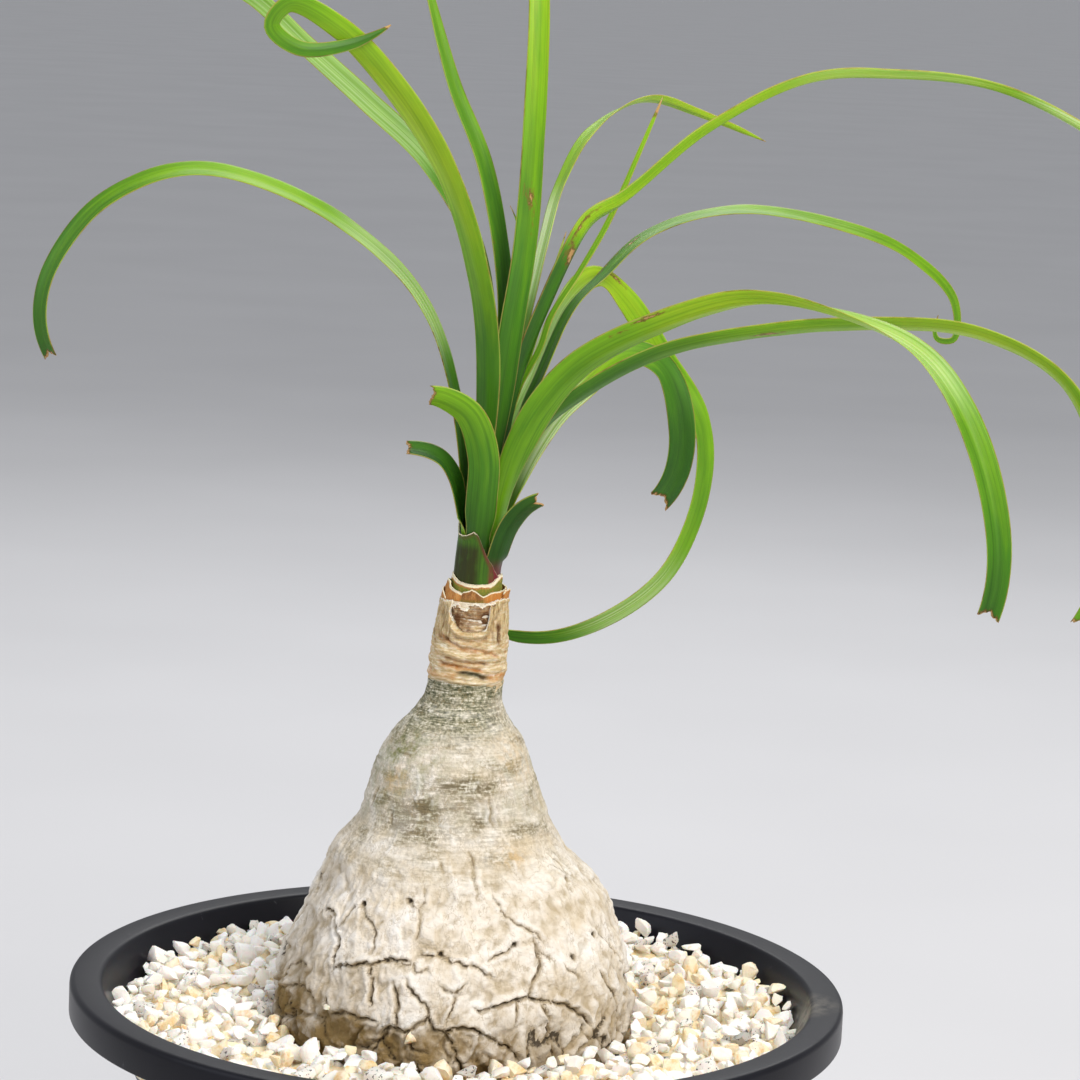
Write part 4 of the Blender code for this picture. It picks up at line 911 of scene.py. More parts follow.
def makeStem(material):
    skin = stemGrid()
    spots = stemSpots(skin, skin["reach"])
    flat, shape = spots.reshape(-1, 3), spots.shape[:2]
    heights = np.broadcast_to(skin["heights"][:, None], shape)
    degrees = np.broadcast_to(np.degrees(skin["turns"]) % 360, shape)
    front = belt(188, 12, 352, 12, degrees)

    push, line = cutCracks(skin, spots, crackSamples(skin, random.Random(8)))
    gap = np.full(shape, 9.0)   # mm from the nearest plate edge or pit
    zones = (1 - smoothStep(-3 + 8 * (1 - front), 4 + 12 * (1 - front), heights),
             belt(2, 6, 46, 20, heights) * (0.8 - 0.72 * front))
    for salt, zone, (size, depth) in zip((1, 2), zones, stemShape["plates"]):
        plates, edges = corkPlates(flat, size, depth, salt)
        push += plates.reshape(shape) * zone
        gap = np.minimum(gap, edges.reshape(shape) + 1.5 * (1 - np.minimum(1, zone * 1.4)))

    # crumpled like paper: sharp creases, ridges as well as valleys, between soft facets
    lumps = softNoise(spots, 13, 3, 1)
    warp = stacked(*[softNoise(spots, 7, 2, seed) for seed in (31, 32, 33)]) * 3.0
    facets = np.abs(softNoise(spots + warp, (9, 9, 12), 2, 2))
    ridges = np.abs(softNoise(spots + 0.8 * warp, (4.4, 4.4, 7.5), 2, 9))
    wrinkles = np.abs(softNoise(spots + 0.7 * warp, (2.2, 2.2, 4.6), 2, 3))
    grain = softNoise(spots, 1.2, 2, 7)
    cords = np.abs(softNoise(spots, (6.5, 6.5, 24), 2, 4))
    bands = softNoise(spots, (16, 16, 2.6), 3, 5)
    patches = smoothStep(-0.1, 0.5, softNoise(spots, (9, 9, 5), 2, 8))
    streaks = softNoise(spots, (3.6, 3.6, 0.85), 3, 6)
    ringed, low = smoothStep(26, 46, heights), 1 - smoothStep(2, 14, heights)
    calm = 1 - 0.72 * ringed
    push += calm * (0.85 * lumps + (1.15 + 0.4 * low) * (facets - 0.25) - 0.75 * (ridges - 0.22)
                    + (0.45 + 0.2 * low) * (wrinkles - 0.2) + (0.1 + 0.1 * low) * grain)
    push += 0.45 * belt(8, 12, 50, 16, heights) * (0.3 - cords)
    push += ringed * (0.3 * bands + 0.24 * (0.3 + 0.7 * patches) * streaks)

    # pale cords that stand out, and the pits
    cordTree = KDTree(40 * len(stemVeins))
    for route in stemVeins:
        for at in np.linspace(0, len(route) - 1, 40):
            turn, height = (np.interp(at, range(len(route)), values) for values in zip(*route))
            turn += 1.2 * math.sin(at / (len(route) - 1) * 9)
            cordTree.insert(Vector(stemSpotAt(skin, turn, height)), 0)
    cordTree.balance()
    near = np.array([cordTree.find(Vector(p))[2] if 190 < d < 350 and 26 < h < 68 else 99
                     for p, d, h in zip(flat, degrees.ravel(), heights.ravel())]).reshape(shape)
    cord = np.exp(-(near / 0.6) ** 2) * smoothStep(-0.35, 0.1, streaks)
    push += 0.35 * cord
    for turn, height in stemPits:
        far = np.linalg.norm(spots - stemSpotAt(skin, turn, height), axis=-1) * (1 + 0.55 * grain)
        push -= 1.5 * np.exp(-(far / 0.65) ** 2) - 0.35 * np.exp(-((far - 1.4) / 0.7) ** 2)
        gap = np.minimum(gap, np.maximum(0, far - 0.3))
    push *= smoothStep(84.5, 82.5, heights)   # none of it under the sleeve

    stains = {name: sum(strength * belt(*up, heights) * belt(*around, degrees)
                        for strength, up, around in table) for name, table in stemStains.items()}
    for name, (strength, degree, wide, height, tall) in stemBlots:
        stains[name] = stains[name] + strength * np.exp(-(((degrees - degree) / wide) ** 2
                                                          + ((heights - height) / tall) ** 2))
    olive = stains["olive"] + 0.25 * belt(40, 10, 80, 6, heights) * (degrees < 262)
    # slate streaks, with the sleeve's painted shadow in the band just under it
    slateAndShadow = stains["slateAndShadow"] + 0.5 * belt(66, 9, 90, 2, heights) * smoothStep(345, 290, degrees)
    shade = stains["shade"] * (1 - 0.9 * cord) * (0.55 + 0.45 * patches)
    layers = {
        "barkLine": line,
        "barkGap": gap,
        # how far each point lies below its neighbours: painted shade in the hollows and a painted highlight
        # on the raised parts
        "barkHollowShading": blurred(push, 3.0, 3.0) + 0.45 * blurred(push, 9.0, 9.0) - 1.45 * push,
        "barkZone": stacked(ringed * (0.35 + 0.65 * patches), olive, shade),
        "barkStain": stacked(stains["ochre"], slateAndShadow, stains["dirtAndShade"]),
    }
    points = stemSpots(skin, skin["reach"] + push * smoothStep(-13, -9, heights))
    meshPiece("bark_stem", points, tubeFaces(*shape), material, ("swollen_stem",), layers)
    return skin


def makeRoots(material):
    # the roots inside the mix keep the CAD solid's own faces
    mesh = bmesh.new()
    mesh.from_mesh(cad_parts["swollen_stem"].data)
    level = (rimHeight + stemShape["rootsBelow"]) * mm
    everything = mesh.verts[:] + mesh.edges[:] + mesh.faces[:]
    bmesh.ops.bisect_plane(mesh, geom=everything, plane_co=(0, 0, level), plane_no=(0, 0, 1),
                           clear_outer=True)
    bmesh.ops.holes_fill(mesh, edges=[edge for edge in mesh.edges if edge.is_boundary], sides=0)
    points = [vertex.co / mm for vertex in mesh.verts]
    faces = [tuple(vertex.index for vertex in face.verts) for face in mesh.faces]
    mesh.free()
    same = {"barkLine": (9, 9, 0), "barkGap": 9, "barkHollowShading": 0, "barkZone": (0, 0.4, 0.3),
            "barkStain": (0, 0, 1)}
    layers = {key: np.tile(value, (len(points), 1)) for key, value in same.items()}
    meshPiece("bark_roots", points, faces, material, ("swollen_stem",), layers, sharp=40)


def barkMaterial():
    # Dry corky bark: dead cells full of air, so it is matt and nearly white in strong light, IOR about
    # 1.5. Tan and olive stains lie in blots of 5 to 15 mm, the cracks are dark, the hollows get painted
    # shade and the raised parts a painted highlight, dirt and painted shade darken the foot and the left
    # flank, slate streaks and the sleeve's painted shadow darken the neck, and growth rings about 1 mm apart
    # run round the upper part, drawn coarser than the real 0.3 mm lines.
    material, tree, shader = newMaterial("corkyBark", Roughness=0.82, IOR=1.5, Specular_IOR_Level=0.3)
    place = inMillimetres(tree)
    gap, hollowShading = layerValue(tree, "barkGap"), layerValue(tree, "barkHollowShading")
    beside, away, deep = layerParts(tree, "barkLine")
    ringed, olive, shade = layerParts(tree, "barkZone")
    ochre, slateAndShadow, dirtAndShade = layerParts(tree, "barkStain")
    noises = speckles(tree, place, {
        "mottle": (9, 4, (1, 1, 1)), "stain": (15, 2, (1, 1, 1)), "fleck": (2.2, 4, (1, 1, 1)),
        "streak": (1, 5, (0.16, 0.16, 1.3)), "lichen": (3.2, 5, (1, 1, 1)), "rust": (2, 3, (1, 1, 1)),
        "wrinkle": (0.9, 5, (1, 1, 1)), "ragged": (0.8, 3, (1, 1, 1)), "pepper": (0.7, 2, (1, 1, 1)),
        "scratch": (1, 5, (0.24, 0.24, 2.7)), "vein": (6, 4, (1, 1, 0.45))})
    vein = maths(tree, "ABSOLUTE", maths(tree, "SUBTRACT", noises["vein"], 0.5))
    vein = rescale(tree, vein, 0.013, 0.004)
    crease = addNode(tree, "TexNoise", {"Vector": place, "Scale": 1 / 3.6, "Detail": 5, "Roughness": 0.6},
                     noise_type="RIDGED_MULTIFRACTAL")
    broken, scratched = (maths(tree, "MULTIPLY", maths(tree, "ADD", noises[lines], noises["wrinkle"]), 0.5)
                         for lines in ("streak", "scratch"))
    base = colourRamp(tree, noises["mottle"], (0.32, "D0C0A6"), (0.45, "E4D8C5"), (0.58, "F0E8DC"),
                      (0.72, "F9F5EE"))
    streaks = colourRamp(tree, broken, (0.4, "7C7159"), (0.47, "AA9F86"), (0.53, "CFC5AF"), (0.61, "EFE8DB"))
    slates = colourRamp(tree, scratched, (0.39, "43462F"), (0.47, "76755B"), (0.54, "B0AA90"),
                        (0.62, "EAE4D4"))
    # the crack's dark line: its distance wavers with the noise, and it ends where the crack is far
    beside = maths(tree, "ADD", beside, rescale(tree, noises["ragged"], low=-0.5, high=0.5))
    broad = maths(tree, "MULTIPLY", rescale(tree, deep, low=0.12, high=0.25),
                  rescale(tree, noises["lichen"], 0.35, 0.65, 0.5, 1.9))
    beside = maths(tree, "DIVIDE", maths(tree, "ABSOLUTE", beside), broad)
    thread, halo = rescale(tree, beside, 1.0, 0.5), rescale(tree, beside, 3.6, 0.8)
    fading = maths(tree, "MULTIPLY", rescale(tree, noises["rust"], 0.4, 0.56, 0.3), deep)
    nearby = maths(tree, "MULTIPLY", rescale(tree, away, 1.4, 0.7), fading)
    gap = maths(tree, "ADD", gap, rescale(tree, noises["ragged"], low=-0.4, high=0.4))
    colour = layColours(tree, base, (
        (noises["stain"], 0.56, 0.74, 0.4, "E6CFA4"),
        (noises["fleck"], 0.57, 0.75, 0.28, "B3A284"),
        (ringed, 0.0, 1.0, 0.9, streaks),
        ((olive, noises["lichen"]), 0.38, 0.62, 0.75, "7C8148"),
        # slate streaks and the sleeve's painted shadow just under it
        ((slateAndShadow, noises["lichen"]), 0.15, 0.45, 0.95, slates),
        ((shade, broken), 0.58, 0.46, 0.85, "75694F"),
        ((ochre, noises["rust"]), 0.4, 0.62, 0.6, "DFBA80"),
        ((noises["mottle"], vein), 0.0, 1.0, 0.7, "9A845C"),
        (noises["pepper"], 0.7, 0.76, 0.45, "6A5B44"),
        # painted shade in the hollows, then a painted highlight on the raised parts
        (hollowShading, 0.08, 0.55, 0.5, "A08C64"),
        (hollowShading, -0.1, -0.5, 0.38, "FFFBF4"),
        # dirt and painted shade on the foot, painted shade on the left flank
        ((dirtAndShade, noises["mottle"]), 0.85, 0.35, 0.72, "866F45"),
        ((nearby, halo), 0.0, 1.0, 0.4, "A9946C"),
        ((nearby, thread), 0.0, 0.8, 0.95, "4A3A24"),
        (gap, 0.9, 0.3, 0.35, "7A663F"),
        (gap, 0.4, 0.15, 0.9, "33281A")))
    relief = maths(tree, "MULTIPLY", noises["scratch"], ringed)
    relief = maths(tree, "ADD", relief, noises["wrinkle"])
    relief = maths(tree, "MULTIPLY_ADD", crease, 0.8, relief)
    plugIn(tree, shader, colour, relief, 0.85, 0.0007)
    return material


bark = barkMaterial()
stemSkin = makeStem(bark)
makeRoots(bark)
print("stem")


# Dry papery sleeve, torn collars and the cream ring between the wood and the leaves
neckShape = {
    "middle": ((80, -1.7), (84, -1.2), (98, -0.3), (106, 0.3), (111, 0.7)),   # x by height over the rim
    "sleeve": {
        "turns": (0, 360),
        "foot": ((0, 82.4), (45, 83.0), (90, 83.6), (140, 83.1), (180, 83.5), (220, 84.3), (240, 84.3),
                 (261, 84.0), (282, 83.7), (301, 83.5), (315, 82.6), (324, 80.9), (332, 82.0), (345, 82.2)),
        "top": ((0, 106.6), (60, 106.0), (120, 106.3), (180, 106.3), (212, 105.9), (223, 106.5), (229, 106.2),
                (231, 104.6), (233, 103.2), (238, 101.4), (244, 99.9), (252, 98.8), (262, 98.4), (276, 98.3),
                (287, 98.6), (292.5, 99.8), (295.5, 101.6), (297, 104.2), (298.5, 106.2), (309, 106.8),
                (322, 107.0), (340, 107.0)),
        "radius": ((82, 10.2), (88.4, 10.3), (92.3, 10.15), (98, 9.95), (103.6, 9.3), (107, 8.95)),
        "thick": 0.45, "around": 340, "up": 96},
    "lining": {
        "turns": (220, 307),
        "foot": ((0, 96.4),),
        "top": ((220, 105.0), (242, 105.9), (250, 104.9), (254, 104.3), (258, 104.8), (262, 105.3),
                (270, 106.4), (277, 106.0), (284, 105.6), (296, 106.2), (307, 106.4)),
        "radius": ((96, 9.15), (100, 9.0), (103.5, 8.95), (105, 9.15), (106.5, 9.5)),
        "thick": 0.35, "around": 150, "up": 70,
        "strokes": (   # half width and route of a groove, a swelling, two dark places and a pale one
            (0.4, ((246, 101.9), (259, 101.7), (278, 101.4), (292, 100.7))),
            (0.9, ((252, 103.2), (268, 103.3), (282, 103.0))),
            (1.0, ((292, 103.6), (292, 102.2), (289, 100.8))),
            (0.8, ((241, 103), (243, 101), (249, 99.6))),
            (0.9, ((268, 100.2), (280, 99.3), (288, 100.2))))},
}

# Folds and creases of the sleeve: how far they stand out, half width, how rusty, brown and dark green,
# then the route as (degrees round the neck, height over the rim)
sleeveFolds = {
    "tornRim": (0.55, 0.75, 0, 0, 0, ((229, 105.2), (230.5, 103.3), (236, 100.9), (243, 99.2), (252, 98.0),
                                      (262, 97.6), (276, 97.5), (288, 97.8), (295, 99.2), (298.5, 101.8),
                                      (299, 104.6))),
    "rolledEdge": (0.55, 0.8, 0, 0, 0, ((224, 105.0), (229, 102.6), (237, 99.8), (243, 98.4))),
    "underRim": (-0.4, 0.55, 0.3, 0.1, 0, ((240, 97.4), (250, 96.3), (264, 95.8), (281, 95.9), (296, 97.0),
                                           (305, 99.3))),
    "creaseLeft": (-0.5, 0.5, 0.7, 0.3, 0, ((215, 97.2), (228, 96.2), (240, 95.1), (255, 94.2), (272, 93.2),
                                            (283, 92.7))),
    "creaseRight": (-0.4, 0.45, 0.9, 0, 0, ((265, 94.3), (275, 93.8), (291, 93.2), (304, 92.8), (324, 91.5))),
    "whiteFold": (0.6, 0.85, 0, 0, 0, ((205, 93.0), (238, 92.4), (257, 91.7), (277, 91.5), (294, 91.2),
                                       (310, 91.5), (326, 90.6))),
    "secondCrease": (-0.4, 0.4, 0.6, 0.1, 0, ((228, 91.3), (257, 90.6), (274, 90.3), (291, 90.1),
                                              (303, 89.4))),
    "rustValley": (-0.55, 0.5, 1.2, 0.2, 0, ((218, 89.9), (236, 89.3), (251, 89.2), (262, 88.8), (278, 88.3),
                                             (296, 88.0))),
    "lowFold": (0.45, 0.6, 0, 0, 0, ((250, 88.2), (269, 88.0), (289, 87.5), (304, 87.7), (328, 87.8),
                                     (352, 87.4))),
    "footYellow": (0.3, 0.8, 0.55, 0, 0, ((187, 85.8), (210, 86.1), (230, 86.3), (246, 86.4), (258, 86.8))),
    "darkValley": (-0.65, 0.5, 0, 0.2, 1.2, ((257, 87.3), (269, 87.2), (280, 87.0), (292, 86.5),
                                             (305, 86.2))),
    "ochreRight": (0.1, 0.7, 0.9, 0, 0, ((290, 86.7), (316, 86.2), (350, 85.9))),
    "knot": (0.45, 0.6, 0, 0, 0, ((263, 86.4), (270, 86.0), (280, 85.6))),
    "footFold": (0.4, 0.6, 0, 0, 0, ((203, 85.1), (226, 85.4), (247, 85.2), (268, 84.8), (288, 84.7),
                                     (306, 84.9), (332, 84.8))),
    "darkPatch": (-0.45, 0.75, 0.3, 1.3, 0, ((314, 100.6), (319, 98.6), (320, 96.6), (319, 94.8))),
    "sideCrease": (-0.3, 0.4, 0.2, 0.6, 0, ((303, 98.8), (306, 96.6), (309, 94.8))),
    "fibreRight": (0.2, 0.35, 0, 0.35, 0, ((327, 105.7), (311, 103.6), (303, 101.1))),
    "fibreMiddle": (0.2, 0.35, 0, 0.2, 0, ((312, 105.6), (304, 103.6), (299, 101.0))),
    "fibreLow": (-0.2, 0.35, 0, 0.5, 0, ((322, 104.6), (309, 101.6), (303, 99.6))),
    "fibreLeft": (0.2, 0.4, 0, 0.2, 0, ((203, 103.2), (207, 100.6), (212, 98.2))),
    "fibreLeftInner": (-0.2, 0.4, 0, 0.5, 0, ((212, 104.2), (216, 101.4), (224, 98.4))),
    "pinkLeft": (-0.35, 0.5, 0.4, 0.5, 0, ((203, 97.6), (214, 96.2), (222, 95.4), (235, 96.5))),
    "leftEdge": (-0.4, 0.5, 0, 0.9, 0, ((188, 98.4), (193, 96.4), (201, 95.4))),
}

# The torn collars over the sleeve, each with its foot and top round the neck and radius by height
collarPlans = {
    "torn_collar": {
        "turns": (0, 360), "foot": ((0, 104.2),), "seed": 5, "around": 330, "up": 30, "thick": 0.3,
        "notches": (242, 286, 150, 40),
        "top": ((0, 109.3), (40, 109.8), (90, 109.5), (140, 110.2), (180, 111.1), (192, 111.1), (203, 110.9),
                (206, 110.3), (212, 109.7), (224, 109.2), (234, 108.9), (240, 108.6), (242, 108.3),
                (245, 108.8), (252, 109.1), (259, 109.4), (261.5, 109.8), (265, 109.5), (269.5, 109.3),
                (275, 108.8), (281, 108.2), (286, 107.8), (294, 108.4), (301, 108.9), (310, 109.0),
                (321, 109.0), (333, 109.1),
                (350, 109.2)),
        "radius": ((104, 8.35), (107, 8.5), (109, 8.2), (111.2, 7.75))},
    "outer_collar": {
        "turns": (150, 207), "foot": ((150, 104.6),), "seed": 9, "around": 60, "up": 24, "thick": 0.28,
        "top": ((150, 107.4), (160, 108.5), (180, 108.7), (195, 108.0), (207, 106.6)),
        "radius": ((104, 8.95), (109, 8.95))},
    "curled_flake": {
        "turns": (326, 363), "foot": ((326, 106.0),), "seed": 14, "around": 48, "up": 24, "thick": 0.28,
        "top": ((326, 108.5), (332, 109.3), (345, 109.4), (356, 108.9), (363, 107.6)),
        "radius": ((106, 8.95), (107.5, 9.05), (109.4, 9.3))},
    "cream_collar": {
        "turns": (0, 360), "seed": 31, "around": 240, "up": 18, "thick": 0.34,
        "foot": ((0, 107.6),),
        "top": ((0, 112.8), (60, 112.2), (120, 112.4), (180, 112.9), (193, 112.8), (207, 112.2), (224, 111.4),
                (237, 111.1), (249, 110.9), (268, 110.8), (291, 110.9), (302, 111.1), (312, 111.6),
                (320, 112.3), (331, 113.0), (345, 113.1)),
        "radius": ((107, 7.15), (109, 7.05), (110.5, 6.85), (111, 6.9), (113, 6.7))},
}


def paperGrid(plan, seed, ragged, across):
    # a torn sheet round the neck by angle and row, with fine teeth on broader waves along its top:
    # degrees, heights, how far below the torn top, and points for its noise
    start, end = plan["turns"]
    degrees = np.linspace(start, end, plan["around"], endpoint=end - start < 360)[:, None]
    wide, teeth = (np.array([[noise.noise(Vector((d / size, seed, shift)))] for d in degrees[:, 0]])
                   for size, shift in ((9, 0), (1.6, 5)))
    top = lookUp(plan["top"], degrees, period=360) + ragged * (wide + 0.6 * teeth)
    foot = lookUp(plan["foot"], degrees, period=360) + 0.4 * ragged * wide
    height = foot + (top - foot) * np.linspace(0, 1, plan["up"])
    angle = np.radians(degrees)
    places = stacked(across * np.cos(angle), across * np.sin(angle), height)
    return degrees, height, top - height, places


def paperSheet(name, material, replaced, plan, degrees, height, push, look, stain):
    # look is torn edge, upright fibres and hollows, the hollows taking painted shade; stain is rust, brown
    # and moss
    angle = np.radians(degrees)
    radius = lookUp(plan["radius"], height) + push
    layers = {"paperLook": stacked(*look), "paperStain": stacked(*stain),
              "paperPlace": stacked(angle * 9.5, height, plan["thick"] * 50)}
    wrapSheet(name, material, replaced, lookUp(neckShape["middle"], height), angle,
              rimHeight + height, radius, plan["thick"], layers)


def stroke(arc, height, route, halfWidth, radius):
    # 1 on a route of (degrees, height), fading beside it and towards its ends
    route = np.array(route, float) * (math.radians(radius), 1)
    at = runAlong(route)
    mark = np.zeros(np.broadcast(arc, height).shape)
    for want in np.linspace(0, at[-1], max(6, int(at[-1] / 0.35))):
        a, h = np.interp(want, at, route[:, 0]), np.interp(want, at, route[:, 1])
        fade = min(1.0, 0.25 + min(want, at[-1] - want) / 2.0)
        mark = np.maximum(mark, fade * np.exp(-((arc - a) ** 2 + (height - h) ** 2) / halfWidth**2))
    return mark


def paperMaterial(name, fibres, edgeColour, mossColour, *stops):
    # Dead leaf sheath dried to paper: matt, fibrous, IOR about 1.5, cream where it is freshly torn and
    # tan to rust brown where it weathered. Its fibres are 0.2 to 0.4 mm apart.
    material, tree, shader = newMaterial(name, Roughness=0.78, IOR=1.5, Specular_IOR_Level=0.3,
                                         Subsurface_Weight=0.1, Subsurface_Scale=0.0008)
    place = layerVector(tree, "paperPlace")   # mm round, mm up, layer
    edge, flank, hollowShading = layerParts(tree, "paperLook")
    rust, brown, moss = layerParts(tree, "paperStain")
    noises = speckles(tree, place, {
        "level": (1, 5, (0.45, 1.7, 1)), "upright": (1, 4, (2.6, 0.3, 1)), "blot": (3.6, 3, (0.6, 1, 1)),
        "crease": (1, 4, (0.22, 0.9, 1)), "spot": (1.3, 4, (1, 1, 1))})
    spot = noises["spot"]
    base = colourRamp(tree, noises[fibres], *stops)
    side = colourRamp(tree, noises["upright"], (0.32, "856A40"), (0.46, "B29767"), (0.6, "D3BE93"),
                      (0.72, "E9DDC2"))
    colour = layColours(tree, base, (
        (noises["blot"], 0.52, 0.72, 0.42, "D3AC70"),
        (noises["crease"], 0.56, 0.7, 0.5, "B58B52"),
        (flank, 0.0, 1.0, 1.0, side),
        ((rust, spot), 0.2, 0.6, 0.85, "B8742C"),
        ((brown, spot), 0.2, 0.55, 0.95, "5F3D20"),
        ((moss, spot), 0.15, 0.5, 0.9, mossColour),
        # painted shade in the hollows
        (hollowShading, 0.05, 0.5, 0.7, "6E4C2A"),
        (edge, 0.3, 0.8, 0.95, edgeColour)))
    plugIn(tree, shader, colour, maths(tree, "ADD", noises[fibres], spot), 0.55, 0.0004)
    return material


def makeSleeve(material):
    sleeve = neckShape["sleeve"]
    turn, height, below, places = paperGrid(sleeve, 2, 0.5, 10)
    wobble = [softNoise(places, 3.2, 2, seed) for seed in (15, 16)]
    arc, level = np.radians(turn) * 10 + 0.5 * wobble[0], height + 0.4 * wobble[1]
    back = 1 - belt(196, 16, 346, 14, turn)
    tear = belt(236, 6, 292, 6, turn)
    flank = smoothStep(94.5, 97.5, height) * (1 - 0.8 * tear * smoothStep(100.5, 98.5, height))
    creases = 0.42 - np.abs(softNoise(places, (8, 8, 2.0), 3, 11))
    folds = softNoise(places, (13, 13, 2.6), 2, 12)
    crinkle = softNoise(places, (2.2, 2.2, 0.9), 3, 13)
    threads = softNoise(places, (0.9, 0.9, 6), 2, 14)
    push = (0.3 + 0.3 * back) * creases * (1 - 0.6 * flank) + 0.35 * back * folds * (1 - flank)
    push += 0.11 * crinkle + 0.16 * threads * flank
    stains = [0, 0, 0]
    for rise, halfWidth, *amounts, route in sleeveFolds.values():
        push += 1.25 * rise * stroke(arc, level, route, halfWidth, 10)
        wide = stroke(arc, level, route, halfWidth * 1.25, 10)
        stains = [stain + wide * amount for stain, amount in zip(stains, amounts)]
    stains[0] = stains[0] + 0.5 * back * smoothStep(0.1, -0.25, creases)
    push += 0.2 * np.exp(-((below - 0.7) / 0.5) ** 2)
    push -= 0.75 * tear * smoothStep(1.5, 0, below)
    push -= 0.35 * smoothStep(0.8, 0, height - height[:, :1])
    edge = smoothStep(0.55, 0.05, below) * (1 - 0.65 * tear)
    # how far each point lies below its neighbours, for painted shade in the hollows
    hollowShading = blurred(push.T, 2.6, 3.2).T - push - 0.04
    paperSheet("paper_sleeve", material, "dry_sleeve", sleeve, turn, height, push,
               (edge, flank * (0.75 + 0.5 * wobble[0]), hollowShading), stains)

    # what the tear shows: an older brown layer with a ragged pale top
    lining = neckShape["lining"]
    turn, height, below, places = paperGrid(lining, 7, 0.55, 9)
    groove, swelling, high, low, pale = (stroke(np.radians(turn) * 9, height, route, halfWidth, 9)
                                         for halfWidth, route in lining["strokes"])
    push = 0.45 * (0.35 - np.abs(softNoise(places, (6, 6, 1.1), 3, 21)))
    push += 0.12 * softNoise(places, 1.2, 2, 22) + 0.25 * swelling - 0.4 * groove
    ragged = smoothStep(0.8, 0.35, below + 0.9 * softNoise(places, (1.3, 1.3, 0.8), 3, 23))
    brown = np.clip(0.75 + high + low - 0.9 * pale, 0, 2) * (1 - ragged)
    # how far each point lies below its neighbours, for painted shade in the hollows
    hollowShading = blurred(push, 1.6, 2.2) - push
    paperSheet("old_sheath", material, "dry_sleeve", lining, turn, height, push * smoothStep(0, 0.6, below),
               (ragged, 0, hollowShading), (0.5 * (1 - pale), brown, 0))


def makeCollars(material):
    for name, plan in collarPlans.items():
        turn, height, below, places = paperGrid(plan, plan["seed"], 0.16, 8.5)
        push = 0.16 * softNoise(places, (3, 3, 4), 3, plan["seed"])
        push += 0.06 * softNoise(places, 0.9, 2, plan["seed"] + 1)
        stains, edge, replaced = (0.5, 0, 0), smoothStep(0.5, 0.15, below), "frayed_collar"
        if name == "torn_collar":
            for notch in plan["notches"]:   # the collar creases below each notch
                push -= 0.4 * np.exp(-((turn - notch) / 4) ** 2) * smoothStep(105.5, 108, height)
            middle, right = belt(238, 7, 292, 8, turn), belt(284, 4, 350, 8, turn)
            stains = (0.35 + 0.7 * right + 0.3 * belt(262, 6, 280, 6, turn), 0.75 * middle,
                      0.5 * middle * smoothStep(107.5, 106, height))
            edge = smoothStep(0.5 + 0.5 * belt(196, 6, 243, 3, turn), 0.15, below)
        if name == "cream_collar":
            replaced = "cream_ring"
            below = below + 0.25 * softNoise(places, 2.0, 2, 44)
            edge = smoothStep(1.05 + 0.9 * belt(296, 12, 344, 12, turn), 0.6, below)
            stains = (0.2, 0.9 * belt(0.9, 0.3, 1.3, 0.4, below), smoothStep(1.0, 1.5, below))
        paperSheet(name, material, replaced, plan, turn, height, push, (edge, 0, 0), stains)


makeSleeve(paperMaterial("driedLeafSheath", "level", "F1E8D6", "4A513A", (0.3, "9C8052"), (0.44, "C2AB80"),
                         (0.58, "DCCDAD"), (0.74, "F2ECDE")))
makeCollars(paperMaterial("rustyLeafSheath", "upright", "F2E6C8", "6E7C26", (0.3, "9C6430"), (0.5, "B87E42"),
                          (0.7, "D2A468")))
print("neck")


# Plastic pot
potShape = {
    "rimDrop": 9.0,      # depth of the lip's outer skirt
    "wall": 2.2,
    "floor": 3.6,
    "lip": 2.6,
    "mouth": 96.6,
    "throat": (93.4, 8.0),      # radius and how far below the rim
    "shoulder": (86.4, 26.0),
    "base": 60.0,
    "sides": 192,
    "drains": 6,
    "drainRadius": 4.5,
    "drainCircle": 42.0,
    "channel": (5.2, 1.4, 35.0, 66.0),   # groove at each drain hole: width, depth, from where to where
    "dusty": (91, -9, 120),  # pale dust on the wall here, where the stones lie against it
}


def roundedOutline(corners, steps=5):
    # corners are (radius, height, rounding); each rounded corner becomes a short curve
    points = []
    for k, (r, z, rounding) in enumerate(corners):
        corner = np.array((r, z))
        if not rounding:
            points.append(corner)
            continue
        ends = []
        for other in (corners[k - 1], corners[(k + 1) % len(corners)]):
            way = np.array(other[:2]) - corner
            ends.append(corner + way / np.linalg.norm(way) * min(rounding, np.linalg.norm(way) * 0.45))
        for t in np.linspace(0, 1, steps):
            points.append((1 - t) ** 2 * ends[0] + 2 * t * (1 - t) * corner + t * t * ends[1])
    return points


def potMaterial():
    # Polypropylene, injection moulded in a lightly grained mould: charcoal black, IOR 1.49, soft
    # broad highlights, a grain of about 0.4 mm and a few pale scuffs on the lip.
    material, tree, shader = newMaterial("mouldedPolypropylene", IOR=1.49, Specular_IOR_Level=0.18)
    place = inMillimetres(tree)
    noises = speckles(tree, place, {"grain": (0.45, 2, (1, 1, 1)), "cloud": (30, 3, (1, 1, 1)),
                                    "scuff": (2.5, 4, (1, 1, 0.4)), "dust": (3.0, 5, (1, 1, 1))})
    base = colourRamp(tree, noises["cloud"], (0.35, "111117"), (0.65, "17171E"))
    dusty = addNode(tree, "VectorMath", {0: place, 1: potShape["dusty"]}, give="Value", operation="DISTANCE")
    colour = layColours(tree, base, (
        (noises["scuff"], 0.7, 0.78, 0.5, "5F5F64"),
        ((rescale(tree, dusty, 17, 4), noises["dust"]), 0.35, 0.6, 0.85, "958F82"),
        (noises["dust"], 0.74, 0.8, 0.5, "8B8780")))
    plugIn(tree, shader, colour, noises["grain"], 0.12, 0.0002,
           Roughness=rescale(tree, noises["cloud"], low=0.3, high=0.42))
    return material


